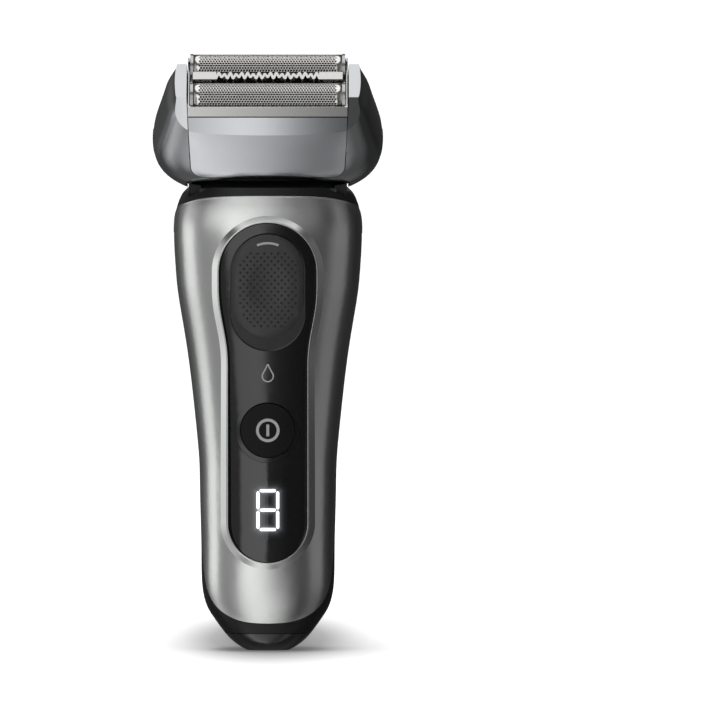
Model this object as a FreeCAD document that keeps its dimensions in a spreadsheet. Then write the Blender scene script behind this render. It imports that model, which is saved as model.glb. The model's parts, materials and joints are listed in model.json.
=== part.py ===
import FreeCAD, Part
import functools
import math
import os

# A cordless foil shaver.  X is to the right, the front faces -Y and Z runs up the handle.
# The origin is the middle of the charging inlet's mouth, in the flat rim of the foot.
# The head is drawn upright about its own pivot, and its Placement tilts it forward.

V = FreeCAD.Vector

DRIVING_SIZES = {
    # handle
    "shell_wall": 1.8, "parting_gap": 0.15, "glass_depth": 0.5, "glass_thickness": 1.4,
    "foot_split": 4.7, "front_power": 2.9, "back_power": 2.4,
    # keyhole opening of the front shell
    "keyhole_top_radius": 13.4, "keyhole_top_height": 103.6, "keyhole_shoulder": 99.5,
    "keyhole_low_radius": 10.9, "keyhole_low_height": 35.1, "keyhole_waist": 78.0,
    "keyhole_curve": 9.0, "keyhole_gap": 0.12, "rim_rise": 0.9, "rim_width": 2.2,
    "rim_slope_width": 1.95, "rim_slope_depth": 1.25,
    # thumb pad of the head lock
    "pad_half_width": 9.65, "pad_bottom": 85.8, "pad_top": 113.7, "pad_recess_half_width": 10.15,
    "pad_recess_bottom": 81.9, "pad_recess_top": 114.0, "pad_floor": 10.6, "pad_dish": 1.3,
    "pad_travel": 3.5, "pad_dish_radius": 60.0, "pad_wall": 1.2, "pad_sink": 0.35,
    "bolt_slot_half_width": 2.15,
    "bolt_half_width": 2.5, "bolt_bottom": 97.0, "bolt_top": 115.5, "bolt_stem_half_width": 2.0,
    "bolt_stem_bottom": 99.8, "bolt_stem_top": 104.0,
    # rubber inlay on the back
    "grip_half_width": 12.5, "grip_bottom": 11.0, "grip_top": 64.0, "grip_proud": 0.3,
    "grip_seat": 1.0, "rib_half_length": 8.0, "rib_start": 18.0, "rib_pitch": 4.5, "rib_count": 9,
    "rib_line": 1.1, "rib_depth": 0.35,
    # power button and display
    "button_height": 60.4, "button_radius": 7.3, "button_hole_radius": 7.6, "bezel_radius": 8.85,
    "bezel_recess": 0.3, "symbol_radius": 3.2, "symbol_line": 0.77, "symbol_bar": 3.2,
    "symbol_depth": 0.2, "button_back": 10.3,
    "digit_height": 38.7, "digit_width": 6.2, "digit_length": 11.4, "digit_line": 0.85,
    "digit_side_gap": 0.45, "digit_end_gap": 0.2,
    # charging inlet
    "inlet_width": 9.4, "inlet_depth": 6.6, "inlet_roof": 9.5, "pin_radius": 0.9,
    "pin_spacing": 4.4, "pin_tip": 4.5,
    # long hair trimmer on the back
    "channel_half_width": 9.0, "channel_bottom": 70.5, "channel_floor": 12.6,
    "channel_upper_floor": 13.8, "channel_step": 107.5, "slide_clearance": 0.12,
    "slide_top": 119.4, "slide_break": 94.5, "guide_wall": 1.2, "guide_top": 118.8,
    "thumb_groove_half_length": 5.5, "thumb_groove_start": 77.0, "thumb_groove_pitch": 3.0,
    "comb_half_width": 8.0, "comb_pitch": 1.2, "comb_front": 15.1, "comb_thickness": 0.5,
    "comb_bottom": 112.05, "comb_root": 123.6, "comb_tip": 125.9, "comb_cutter_front": 14.5,
    # cell and board
    "cell_radius": 7.0, "cell_length": 50.0, "cell_bottom": 27.0, "cell_back": 4.0,
    "board_width": 22.0, "board_length": 82.0, "board_thickness": 1.6, "board_bottom": 29.0,
    "board_front": 6.0, "tray_bottom": 9.0, "tray_top": 68.0, "tray_wall": 1.1, "tray_rib": 1.2,
    "low_rib": 22.0, "high_rib": 60.0, "tab_half_width": 2.0, "tab_reach": 8.2, "tab_line": 0.35,
    "switch_half_width": 3.0, "switch_rise": 1.6, "display_half_width": 4.6,
    "display_half_height": 7.0, "display_rise": 4.3,
    # head pivot
    "pivot_height": 135.0, "head_tilt": 32.0, "saddle_radius": 13.4, "shoulder_radius": 11.2,
    "arm_inner": 18.6, "arm_outer": 21.5, "arm_half_depth": 3.5, "arm_bottom": 120.4,
    "pivot_pin_radius": 2.0, "pivot_pin_start": 16.9, "pivot_pin_length": 6.3,
    "tower_half_depth": 6.2, "tower_top": 4.8, "bowl_half_width": 16.8, "bowl_floor": -7.4,
    "slot_inner": 18.2, "slot_outer": 21.8, "slot_swing": 22.0, "slot_reach": 20.0,
    "bush_radius": 2.9, "bush_end": 23.4, "head_power": 4.5, "head_wall": 1.8,
    # bay for the cassette
    "bay_half_width": 22.0, "bay_low_half_width": 21.1, "bay_floor": 0.6, "bay_corner": 4.0,
    "ear_top": 24.0, "ear_top_half_depth": 8.0, "ear_front_half_depth": 12.6, "ear_front_height": 16.0,
    "cassette_gap": 0.25, "cassette_top": 20.0, "cassette_top_half_depth": 12.0,
    "cassette_slope": 0.3, "cassette_wall": 1.2, "cassette_power": 6.0,
    # foils and cutters
    "foil_radius": 4.0, "foil_thickness": 0.2, "foil_offset": 6.95, "foil_height": 23.0,
    "foil_skirt": 3.0, "foil_half_length": 20.2, "end_cap": 0.8,
    "cutter_radius": 3.6, "cutter_pitch": 1.3, "cutter_thickness": 0.3, "cutter_half_count": 13,
    "carrier_top": 22.0, "carrier_bottom": 19.5, "carrier_half_depth": 2.2,
    # middle trimmer
    "guard_top": 25.65, "guard_thickness": 0.35, "guard_half_depth": 1.75, "guard_half_length": 20.3,
    "guard_teeth_half_length": 14.04, "guard_half_pitch": 0.78, "guard_line": 0.74,
    "guard_leg": 1.2, "guard_short_fold": 0.6, "guard_flange": 0.3, "guard_flange_height": 1.6,
    "trimmer_blade_half_depth": 0.9, "trimmer_blade_half_length": 16.2, "trimmer_blade_bottom": 24.05,
    "trimmer_blade_top": 24.55, "trimmer_tooth_half_width": 0.3,
    "holder_half_length": 20.2, "holder_half_depth": 1.4, "holder_bottom": 20.0, "holder_top": 24.0,
    "holder_post_start": 18.0, "holder_foot_half_depth": 2.2, "holder_foot_top": 22.4,
    # drive
    "housing_half_length": 16.5, "housing_half_depth": 8.2, "housing_top": 13.0,
    "housing_wall": 1.2, "bridge_bottom": 15.8, "bridge_top": 17.5, "bridge_half_length": 16.0,
    "bridge_half_depth": 9.0, "drive_pin_radius": 1.2, "motor_floor": 0.5, "core_half_length": 9.0,
    "core_half_depth": 5.5, "core_base": 1.9, "core_top": 5.2, "core_leg": 2.6, "coil_half_length": 4.4,
    "coil_half_depth": 6.6, "armature_half_length": 8.2, "armature_half_depth": 5.0,
    "armature_bottom": 6.6, "armature_top": 8.6, "magnet_offset": 4.2, "magnet_half_length": 1.6,
    "magnet_half_depth": 4.6, "magnet_bottom": 5.6, "leaf_start": 12.4, "leaf_line": 0.35,
    "leaf_top": 9.5, "mass_bottom": 9.4, "mass_top": 11.0,
    # release buttons
    "release_height": 1.5, "release_half_height": 6.0, "release_half_depth": 4.5,
    "release_travel": 1.2, "release_gap": 0.12, "release_pocket": 24.0, "release_wall": 2.2,
}

# Handle sections from the foot up: height, half width, half depth, shift to the back.
HANDLE_ROWS = [
    (0.0, 6.0, 4.8, 0.0), (1.6, 8.6, 6.8, 0.0), (4.0, 11.2, 8.8, 0.0), (8.0, 14.2, 11.0, 0.0),
    (14.0, 17.3, 12.7, 0.2), (24.0, 18.1, 13.5, 0.4), (36.0, 18.3, 13.9, 0.6),
    (50.0, 18.6, 14.3, 0.8), (64.0, 19.8, 14.8, 1.0), (78.0, 21.4, 15.4, 1.2),
    (92.0, 23.6, 15.9, 1.4), (106.0, 25.2, 16.0, 1.5), (116.0, 25.4, 15.6, 1.5),
    (122.0, 24.2, 14.9, 1.9), (126.2, 21.8, 14.0, 1.9),
]

# Head sections above the pivot: height, half width, half depth.
HEAD_ROWS = [
    (-9.0, 18.4, 3.0), (-8.3, 21.2, 5.2), (-6.5, 23.9, 8.2), (-3.5, 26.8, 10.9),
    (-1.0, 28.8, 12.3), (1.5, 30.2, 12.9), (5.0, 31.0, 13.2), (11.0, 29.9, 13.5),
    (16.0, 28.4, 13.5), (20.0, 27.0, 13.5), (25.0, 25.2, 13.5),
]

# Cassette sections above the pivot: height, half width, half depth.
CASSETTE_ROWS = [
    (0.0, 31.0, 12.45), (1.5, 31.0, 12.8), (5.0, 31.0, 13.1), (11.0, 31.0, 13.35),
    (16.0, 31.0, 13.35), (21.0, 31.0, 13.35),
]

# Side view of the seam round the front shell, as depth and height, from the foot to the top.
SEAM_LOWER = [
    (-26.0, 2.6), (-12.0, 5.7), (-10.0, 9.7), (-7.8, 15.1), (-6.0, 21.0), (-4.0, 28.0),
    (-2.0, 37.0), (0.0, 48.0), (2.0, 62.0), (3.2, 80.0), (3.5, 100.0),
]
SEAM_UPPER = [
    (3.5, 100.0), (3.0, 112.0), (1.8, 116.4), (0.0, 118.9), (-3.0, 120.7), (-6.5, 121.7),
    (-9.0, 122.7), (-12.0, 123.8), (-14.0, 124.2), (-26.0, 124.5),
]

FAR = 60.0  # reaches past every surface of the shaver

doc = FreeCAD.newDocument("FoilShaver")
sheet = doc.addObject("Spreadsheet::Sheet", "Sizes")


def fill_sheet():
    """Writes the driving sizes and the section tables, one alias for each number."""
    for row, (name, value) in enumerate(DRIVING_SIZES.items(), start=1):
        sheet.set(f"A{row}", name)
        sheet.set(f"B{row}", str(value))
        sheet.setAlias(f"B{row}", name)
    tables = (("handle", HANDLE_ROWS, "DEFG"), ("head", HEAD_ROWS, "IJK"),
              ("cassette", CASSETTE_ROWS, "MNO"))
    for name, rows, columns in tables:
        for number, row in enumerate(rows, start=1):
            for column, measure, value in zip(columns, ("height", "width", "depth", "lean"), row):
                sheet.set(f"{column}{number}", str(value))
                sheet.setAlias(f"{column}{number}", f"{name}_{measure}_{number}")
    doc.recompute()


def size(name):
    """A driving size, read from the sheet."""
    return float(sheet.get(name))


def section_rows(name, count, measures):
    """The rows of one section table, read back from the sheet."""
    return [[size(f"{name}_{measure}_{number}") for measure in measures]
            for number in range(1, count + 1)]


fill_sheet()

FRONT_POWER = size("front_power")
BACK_POWER = size("back_power")
HEAD_PLACEMENT = FreeCAD.Placement(
    V(0, 0, size("pivot_height")), FreeCAD.Rotation(V(1, 0, 0), size("head_tilt")))
UPRIGHT = FreeCAD.Placement()


# ---------------------------------------------------------------- shapes in common

def block(x0, x1, y0, y1, z0, z1):
    return Part.makeBox(x1 - x0, y1 - y0, z1 - z0, V(x0, y0, z0))


def rod(radius, start, direction, length):
    return Part.makeCylinder(radius, length, start, direction)


def join(shapes):
    """One solid from shapes that overlap or touch."""
    result = shapes[0]
    for shape in shapes[1:]:
        result = result.fuse(shape)
    return result.removeSplitter()


def mirrored(shape):
    """The same shape on the left side."""
    return shape.mirror(V(0, 0, 0), V(1, 0, 0))


def both_sides(shape):
    return Part.makeCompound([shape, mirrored(shape)])


def flipped(shape):
    """The same shape on the back of the head."""
    return shape.mirror(V(0, 0, 0), V(0, 1, 0))


def side_prism(points, half_length=FAR):
    """A prism along X from an outline of depths and heights."""
    corners = [V(-half_length, y, z) for y, z in points]
    return Part.Face(Part.makePolygon(corners + corners[:1])).extrude(V(2 * half_length, 0, 0))


def front_prism(points, y0, y1):
    """A prism along Y from an outline of widths and heights."""
    corners = [V(x, y0, z) for x, z in points]
    return Part.Face(Part.makePolygon(corners + corners[:1])).extrude(V(0, y1 - y0, 0))


def stadium(half_width, bottom, top, y0, y1):
    """An upright slot shape with round ends, along Y."""
    low, high = bottom + half_width, top - half_width
    edges = [
        Part.Arc(V(-half_width, y0, low), V(0, y0, bottom), V(half_width, y0, low)).toShape(),
        Part.makeLine(V(half_width, y0, low), V(half_width, y0, high)),
        Part.Arc(V(half_width, y0, high), V(0, y0, top), V(-half_width, y0, high)).toShape(),
        Part.makeLine(V(-half_width, y0, high), V(-half_width, y0, low)),
    ]
    return Part.Face(Part.Wire(edges)).extrude(V(0, y1 - y0, 0))


def floor_stadium(width, depth, z0, z1):
    """A slot shape with round ends, lying along X, standing from z0 to z1."""
    radius = depth / 2
    reach = width / 2 - radius
    edges = [
        Part.makeLine(V(-reach, -radius, z0), V(reach, -radius, z0)),
        Part.Arc(V(reach, -radius, z0), V(reach + radius, 0, z0), V(reach, radius, z0)).toShape(),
        Part.makeLine(V(reach, radius, z0), V(-reach, radius, z0)),
        Part.Arc(V(-reach, radius, z0), V(-reach - radius, 0, z0), V(-reach, -radius, z0)).toShape(),
    ]
    return Part.Face(Part.Wire(edges)).extrude(V(0, 0, z1 - z0))


def rounded_section(height, half_width, half_depth, lean, front_power, back_power, count=28):
    """A closed curve between an ellipse and a rectangle; a higher power is squarer."""
    points = []
    for index in range(count):
        angle = 2 * math.pi * (index + 0.5) / count + math.pi / 2
        c, s = math.cos(angle), math.sin(angle)
        power = back_power if s > 0 else front_power
        x = half_width * math.copysign(abs(c) ** (2 / power), c)
        y = lean + half_depth * math.copysign(abs(s) ** (2 / power), s)
        points.append(V(x, y, height))
    curve = Part.BSplineCurve()
    curve.interpolate(points, PeriodicFlag=True)
    return Part.Wire([curve.toShape()])


@functools.cache
def handle_solid(inset):
    """The handle's outer form, or the same form drawn in by an inset."""
    rows = section_rows("handle", len(HANDLE_ROWS), ("height", "width", "depth", "lean"))
    wires = [rounded_section(height, width - inset, depth - inset, lean, FRONT_POWER, BACK_POWER)
             for height, width, depth, lean in rows]
    return Part.makeLoft(wires, True, False)


@functools.cache
def head_solid(name, count, inset, power):
    """The head's or the cassette's pillow form, drawn in by an inset."""
    rows = section_rows(name, count, ("height", "width", "depth"))
    wires = [rounded_section(height, width - inset, depth - inset, 0.0, power, power)
             for height, width, depth in rows]
    return Part.makeLoft(wires, True, False)


def surface_depth(height, side):
    """How far back, or forward with side -1, the handle's middle reaches at a height."""
    for (z0, _, depth0, lean0), (z1, _, depth1, lean1) in zip(HANDLE_ROWS, HANDLE_ROWS[1:]):
        if z0 <= height <= z1:
            part = (height - z0) / (z1 - z0)
            return (lean0 + side * depth0) * (1 - part) + (lean1 + side * depth1) * part
    raise ValueError("no handle at this height")


def checked_cut(solid, tool):
    """A cut that has to take something away."""
    result = solid.cut(tool)
    if not result.Volume < solid.Volume:
        raise RuntimeError("a cut removed nothing")
    return result


def edges_on(shape, first, second):
    """The edges of a shape whose middles lie on faces of both other shapes."""
    found = []
    for edge in shape.Edges:
        middle = Part.Vertex(edge.valueAt((edge.FirstParameter + edge.LastParameter) / 2))
        on_first = min(face.distToShape(middle)[0] for face in first.Faces) < 0.01
        if on_first and min(face.distToShape(middle)[0] for face in second.Faces) < 0.01:
            found.append(edge)
    return found


# ---------------------------------------------------------------- objects of the document

def add_shape(label, shape, placement=UPRIGHT):
    """A sub-part whose form is worked out from the sheet's sizes."""
    part = doc.addObject("Part::Feature", label)
    part.Label = label
    part.Shape = shape
    part.Placement = placement
    return part


def bind(part, expressions):
    for name, expression in expressions.items():
        part.setExpression(name, expression)


def add_primitive(kind, label, placement, **expressions):
    """A Part primitive whose sizes are bound to the sheet."""
    part = doc.addObject(kind, label)
    part.Label = label
    bind(part, expressions)
    part.Placement = placement
    return part


def placed(base, placement=UPRIGHT, rotation=None):
    """A placement inside the handle's or the head's own frame."""
    own = FreeCAD.Placement(base, rotation or FreeCAD.Rotation())
    return placement.multiply(own)


ALONG_X = FreeCAD.Rotation(V(0, 1, 0), 90)


def origin_plane(body, role):
    return next(item for item in body.Origin.OriginFeatures if item.Role == role)


def add_sketch(body, name, role="XY_Plane"):
    sketch = body.newObject("Sketcher::SketchObject", name)
    sketch.AttachmentSupport = (origin_plane(body, role), [""])
    sketch.MapMode = "FlatFace"
    return sketch


def sketch_rectangle(sketch, width, depth):
    """A rectangle about the sketch's origin, its sides bound to two expressions."""
    import Sketcher
    corners = [V(-1, -1, 0), V(1, -1, 0), V(1, 1, 0), V(-1, 1, 0)]
    for index in range(4):
        sketch.addGeometry(Part.LineSegment(corners[index], corners[(index + 1) % 4]), False)
    for index in range(4):
        sketch.addConstraint(Sketcher.Constraint("Coincident", index, 2, (index + 1) % 4, 1))
    sketch.addConstraint(Sketcher.Constraint("Horizontal", 0))
    sketch.addConstraint(Sketcher.Constraint("Horizontal", 2))
    sketch.addConstraint(Sketcher.Constraint("Vertical", 1))
    sketch.addConstraint(Sketcher.Constraint("Vertical", 3))
    sketch.addConstraint(Sketcher.Constraint("Symmetric", 0, 1, 2, 1, -1, 1))
    for name, line, expression in (("width", 0, width), ("depth", 1, depth)):
        kind = "DistanceX" if name == "width" else "DistanceY"
        number = sketch.addConstraint(Sketcher.Constraint(kind, line, 1, line, 2, 2.0))
        sketch.renameConstraint(number, name)
        sketch.setExpression(f"Constraints.{name}", expression)


def sketch_circle(sketch, radius):
    """A circle about the sketch's origin, with a bound radius."""
    import Sketcher
    circle = sketch.addGeometry(Part.Circle(V(0, 0, 0), V(0, 0, 1), 1.0), False)
    number = sketch.addConstraint(Sketcher.Constraint("Radius", circle, 1.0))
    sketch.renameConstraint(number, "radius")
    sketch.setExpression("Constraints.radius", radius)
    sketch.addConstraint(Sketcher.Constraint("Coincident", circle, 3, -1, 1))


def pad(body, sketch, length, name="Pad"):
    feature = body.newObject("PartDesign::Pad", name)
    feature.Profile = sketch
    feature.setExpression("Length", length)
    return feature


def pocket(body, sketch, length, name="Pocket", backward=True):
    """A pocket from the sketch's plane up into the body, which must lose volume."""
    doc.recompute()
    before = body.Shape.Volume
    feature = body.newObject("PartDesign::Pocket", name)
    feature.Profile = sketch
    feature.Reversed = backward
    feature.setExpression("Length", length)
    doc.recompute()
    if not body.Shape.Volume < before:
        raise RuntimeError(name + " removed nothing")
    return feature


# ---------------------------------------------------------------- handle

def keyhole(grow, y0=-FAR, y1=0.0):
    """The outline of the front panel, wide round the thumb pad and narrow below it."""
    top, low = size("keyhole_top_radius") + grow, size("keyhole_low_radius") + grow
    centre, shoulder = size("keyhole_top_height"), size("keyhole_shoulder")
    waist, foot, pull = size("keyhole_waist"), size("keyhole_low_height"), size("keyhole_curve")

    def point(x, z):
        return V(x, y0, z)

    def shoulder_curve(side):
        curve = Part.BezierCurve()
        curve.setPoles([point(side * top, shoulder), point(side * top, shoulder - pull),
                        point(side * low, waist + pull), point(side * low, waist)])
        return curve.toShape()

    edges = [
        Part.Arc(point(top, centre), point(0, centre + top), point(-top, centre)).toShape(),
        Part.makeLine(point(-top, centre), point(-top, shoulder)),
        shoulder_curve(-1),
        Part.makeLine(point(-low, waist), point(-low, foot)),
        Part.Arc(point(-low, foot), point(0, foot - low), point(low, foot)).toShape(),
        Part.makeLine(point(low, foot), point(low, waist)),
        shoulder_curve(1),
        Part.makeLine(point(top, shoulder), point(top, centre)),
    ]
    return Part.Face(Part.Wire(Part.sortEdges(edges)[0])).extrude(V(0, y1 - y0, 0))


def shifted_seam(points, gap):
    """A seam moved out from the front shell by a gap, square to its own run."""
    moved = []
    for index, (y, z) in enumerate(points):
        y0, z0 = points[max(index - 1, 0)]
        y1, z1 = points[min(index + 1, len(points) - 1)]
        length = math.hypot(y1 - y0, z1 - z0)
        moved.append((y + gap * (z1 - z0) / length, z - gap * (y1 - y0) / length))
    return moved


def seam_edge(points):
    curve = Part.BSplineCurve()
    curve.interpolate([V(-FAR, y, z) for y, z in points])
    return curve.toShape()


def front_region(gap):
    """The space in front of the seam, or of the seam moved out by a gap."""
    lower, upper = shifted_seam(SEAM_LOWER, gap), shifted_seam(SEAM_UPPER, gap)
    middle = ((lower[-1][0] + upper[0][0]) / 2, (lower[-1][1] + upper[0][1]) / 2)
    lower[-1] = middle
    upper[0] = middle
    start, end = V(-FAR, *lower[0]), V(-FAR, *upper[-1])
    wire = Part.Wire([seam_edge(lower), seam_edge(upper), Part.makeLine(end, start)])
    return Part.Face(wire).extrude(V(2 * FAR, 0, 0))


def collar_region(gap):
    """The space above the front shell's top seam and above the rear housing."""
    upper = [point for point in shifted_seam(SEAM_UPPER, gap) if point[0] < 0.5]
    level = upper[0][1]
    start = V(-FAR, *upper[0])
    end = V(-FAR, *upper[-1])
    corners = [end, V(-FAR, end.y, FAR * 3), V(-FAR, FAR, FAR * 3), V(-FAR, FAR, level), start]
    wire = Part.Wire([seam_edge(upper)] + Part.makePolygon(corners).Edges)
    return Part.Face(wire).extrude(V(2 * FAR, 0, 0))


GAP = size("parting_gap")
WALL = size("shell_wall")
GLASS = size("glass_depth")
GLASS_BACK = GLASS + size("glass_thickness")
PAD_FLOOR = -size("pad_floor")
OUTER = handle_solid(0.0)
INNER = handle_solid(WALL)
GLASS_FACE = handle_solid(GLASS)
LINING = handle_solid(WALL + GAP)
LINING_REAR = handle_solid(WALL + GAP + 1.2)


def raised_rim():
    """A band round the keyhole that slopes up towards the panel."""
    skin, outline = handle_solid(-size("rim_rise")), keyhole(size("rim_width"))
    solid = skin.common(outline)
    edges = [edge for edge in edges_on(solid, skin, outline) if edge.CenterOfMass.y < -2]
    return solid.makeChamfer(size("rim_slope_width"), size("rim_slope_depth"), edges)


def build_front_shell():
    """The silver front, with the raised rim round its keyhole opening."""
    solid = join([OUTER.common(front_region(0.0)), raised_rim()])
    add_shape("front_shell", checked_cut(checked_cut(solid, keyhole(0.0)), INNER))


def trimmer_channel(grow):
    """The guide on the back for the long hair trimmer: deep below, shallow above."""
    half = size("channel_half_width") + grow
    step = size("channel_step")
    deep = block(-half, half, size("channel_floor") - grow, FAR, size("channel_bottom") - grow, step)
    shallow = block(-half, half, size("channel_upper_floor") - grow, FAR, step - 1, FAR * 3)
    return deep.fuse(shallow)


def grip_outline(grow):
    """The outline of the rubber inlay, through the back."""
    return stadium(size("grip_half_width") + grow, size("grip_bottom") - grow,
                   size("grip_top") + grow, 0.0, FAR)


def guide_wall():
    """The wall round the trimmer's guide, inside the rear housing."""
    floor, upper, wall = size("channel_floor"), size("channel_upper_floor"), size("guide_wall")
    low, step, high = size("channel_bottom") - wall, size("channel_step") + wall, size("guide_top")
    back = 14.4
    outline = [(floor - wall, low), (back, low), (back, high), (upper - wall, high),
               (upper - wall, step), (floor - wall, step)]
    return side_prism(outline, size("channel_half_width") + wall)


def build_rear_housing():
    """The black back, with the trimmer's guide and a shallow seat for the grip."""
    solid = OUTER.cut(front_region(GAP)).cut(collar_region(0.0))
    solid = checked_cut(solid, block(-FAR, FAR, -FAR, FAR, -1, size("foot_split") + GAP))
    solid = checked_cut(solid, grip_outline(0.05).cut(handle_solid(size("grip_seat"))))
    solid = checked_cut(solid, INNER)
    solid = join([solid, guide_wall()])
    add_shape("rear_housing", checked_cut(solid, trimmer_channel(size("slide_clearance"))))


def build_rear_grip():
    """The rubber inlay on the back, standing a little proud, with cross ribs."""
    solid = grip_outline(0.0).common(handle_solid(-size("grip_proud")))
    solid = solid.cut(handle_solid(size("grip_seat")))
    half, grooves = size("rib_half_length"), []
    for index in range(int(size("rib_count"))):
        height = size("rib_start") + size("rib_pitch") * index
        floor = surface_depth(height, 1) - size("rib_depth")
        grooves.append(block(-half, half, floor, FAR, height, height + size("rib_line")))
    add_shape("rear_grip", checked_cut(solid, Part.makeCompound(grooves)))


def build_base_cap():
    """The foot: a bowl with the inlet's mouth, and a rim that goes up inside the shells."""
    split = size("foot_split")
    bowl = OUTER.common(block(-FAR, FAR, -FAR, FAR, -1, split))
    rim = LINING.common(block(-FAR, FAR, -FAR, FAR, split - 2, split + 3.2))
    solid = join([bowl, rim])
    hollow = LINING_REAR.common(block(-FAR, FAR, -FAR, FAR, 3.2, FAR))
    solid = checked_cut(solid, hollow)
    mouth = floor_stadium(size("inlet_width") + 0.2, size("inlet_depth") + 0.2, -1, FAR)
    seat = floor_stadium(size("inlet_width") + 2.8, size("inlet_depth") + 2.8, 1.2, FAR)
    add_shape("base_cap", checked_cut(checked_cut(solid, mouth), seat))


def build_inlet():
    """The charging socket with two contact pins, and the seal round it."""
    width, depth, roof = size("inlet_width"), size("inlet_depth"), size("inlet_roof")
    shell = floor_stadium(width + 2.6, depth + 2.6, 1.25, roof + 2.0)
    socket = checked_cut(shell, floor_stadium(width, depth, 0, roof))
    radius, tip = size("pin_radius"), size("pin_tip")
    pins = [rod(radius, V(side * size("pin_spacing") / 2, 0, tip), V(0, 0, 1), roof + 3.5 - tip)
            for side in (-1, 1)]
    for pin in pins:
        socket = checked_cut(socket, pin)
    add_shape("inlet_socket", socket)
    add_shape("charging_pins", Part.makeCompound(pins))
    ring = floor_stadium(width + 4.8, depth + 4.8, 4.8, 5.9)
    add_shape("inlet_seal", checked_cut(ring, floor_stadium(width + 2.7, depth + 2.7, 4, 7)))


def build_neck_collar():
    """The black saddle under the head, with an arm on each side for the pivot."""
    height = size("pivot_height")
    solid = OUTER.common(collar_region(GAP))
    edge = size("arm_outer")
    saddle = rod(size("saddle_radius"), V(-edge, 0, height), V(1, 0, 0), 2 * edge)
    shoulder = rod(size("shoulder_radius"), V(-FAR, 0, height), V(1, 0, 0), 2 * FAR)
    solid = checked_cut(checked_cut(solid, saddle), shoulder)
    solid = checked_cut(solid, trimmer_channel(size("slide_clearance")))
    inner, outer, half = size("arm_inner"), size("arm_outer"), size("arm_half_depth")
    arm = block(inner, outer, -half, half, size("arm_bottom"), height)
    arm = arm.fuse(rod(half, V(inner, 0, height), V(1, 0, 0), outer - inner))
    arm = arm.cut(rod(size("pivot_pin_radius"), V(0, 0, height), V(1, 0, 0), FAR))
    add_shape("neck_collar", join([solid, arm, mirrored(arm)]))
    pins = doc.addObject("Part::Compound", "pivot_pins")
    pins.Label = "pivot_pins"
    pins.Links = [
        add_primitive("Part::Cylinder", label, placed(V(start, 0, height), UPRIGHT, ALONG_X),
                      Radius="Sizes.pivot_pin_radius", Height="Sizes.pivot_pin_length")
        for label, start in (("right_pin", size("pivot_pin_start")),
                             ("left_pin", -size("pivot_pin_start") - size("pivot_pin_length")))]


def pad_recess(grow, y0, y1):
    return stadium(size("pad_recess_half_width") + grow, size("pad_recess_bottom") - grow,
                   size("pad_recess_top") + grow, y0, y1)


def blunt_bar(start, end, half):
    """The corners of a straight bar whose ends are blunted, in width and height."""
    length = math.hypot(end[0] - start[0], end[1] - start[1])
    along = ((end[0] - start[0]) / length, (end[1] - start[1]) / length)
    profile = [(0.0, 0.4 * half), (0.9 * half, half), (length - 0.9 * half, half), (length, 0.4 * half)]
    corners = profile + [(reach, -rise) for reach, rise in reversed(profile)]
    return [(start[0] + along[0] * reach - along[1] * rise, start[1] + along[1] * reach + along[0] * rise)
            for reach, rise in corners]


def segment_outlines():
    """The seven bars of one digit, as corners in width and height."""
    half = size("digit_line") / 2
    reach, wide = size("digit_length") / 2 - half, size("digit_width") / 2 - half
    centre, side, end = size("digit_height"), size("digit_side_gap"), size("digit_end_gap")
    bars = [blunt_bar((-wide + side, centre + level), (wide - side, centre + level), half)
            for level in (-reach, 0.0, reach)]
    for x in (-wide, wide):
        for low in (centre - reach, centre):
            bars.append(blunt_bar((x, low + end), (x, low + reach - end), half))
    return bars


def build_panel():
    """The glossy panel in two pieces, with the digit's bars let into the lower one."""
    height, hole = size("button_height"), size("button_hole_radius")
    sheet_solid = keyhole(-size("keyhole_gap")).common(GLASS_FACE).cut(handle_solid(GLASS_BACK))
    lower_half = block(-FAR, FAR, -FAR, 0, 0, height)
    bezel = rod(size("bezel_radius"), V(0, -FAR, height), V(0, 1, 0), FAR)
    bezel_ring = bezel.common(handle_solid(GLASS + size("bezel_recess"))).cut(handle_solid(GLASS_BACK))
    hole_tool = rod(hole, V(0, -FAR, height), V(0, 1, 0), FAR)
    window = sheet_solid.common(lower_half)
    window = checked_cut(window, rod(size("bezel_radius") + 0.05, V(0, -FAR, height), V(0, 1, 0), FAR))
    window = checked_cut(window, block(-FAR, FAR, -FAR, 0, height - 0.05, height))
    bar_back = surface_depth(size("digit_height"), -1) + GLASS + 0.4
    bars = Part.makeCompound([front_prism(outline, -FAR, bar_back) for outline in segment_outlines()])
    segments = bars.common(handle_solid(GLASS - 0.04))
    window = checked_cut(window, segments)
    upper = join([sheet_solid.cut(lower_half).cut(bezel), bezel_ring])
    tray_wall = size("pad_wall")
    tray = pad_recess(tray_wall, -FAR, PAD_FLOOR + tray_wall).common(GLASS_FACE)
    upper = join([upper, tray])
    upper = checked_cut(upper, pad_recess(0.0, -FAR, PAD_FLOOR))
    upper = checked_cut(upper, hole_tool)
    half = size("bolt_slot_half_width")
    low = size("bolt_stem_bottom") - size("pad_travel") - 0.3
    slot = block(-half, half, PAD_FLOOR - 1, PAD_FLOOR + 3, low, size("bolt_stem_top") + 0.2)
    add_shape("control_panel", checked_cut(upper, slot))
    add_shape("display_window", window)
    add_shape("display_segments", segments)
    seal = keyhole(1.4, -FAR, -2.0).cut(keyhole(-0.9)).common(handle_solid(GLASS_BACK + 0.05))
    add_shape("panel_seal", seal.cut(handle_solid(GLASS_BACK + 0.55)))


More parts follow.
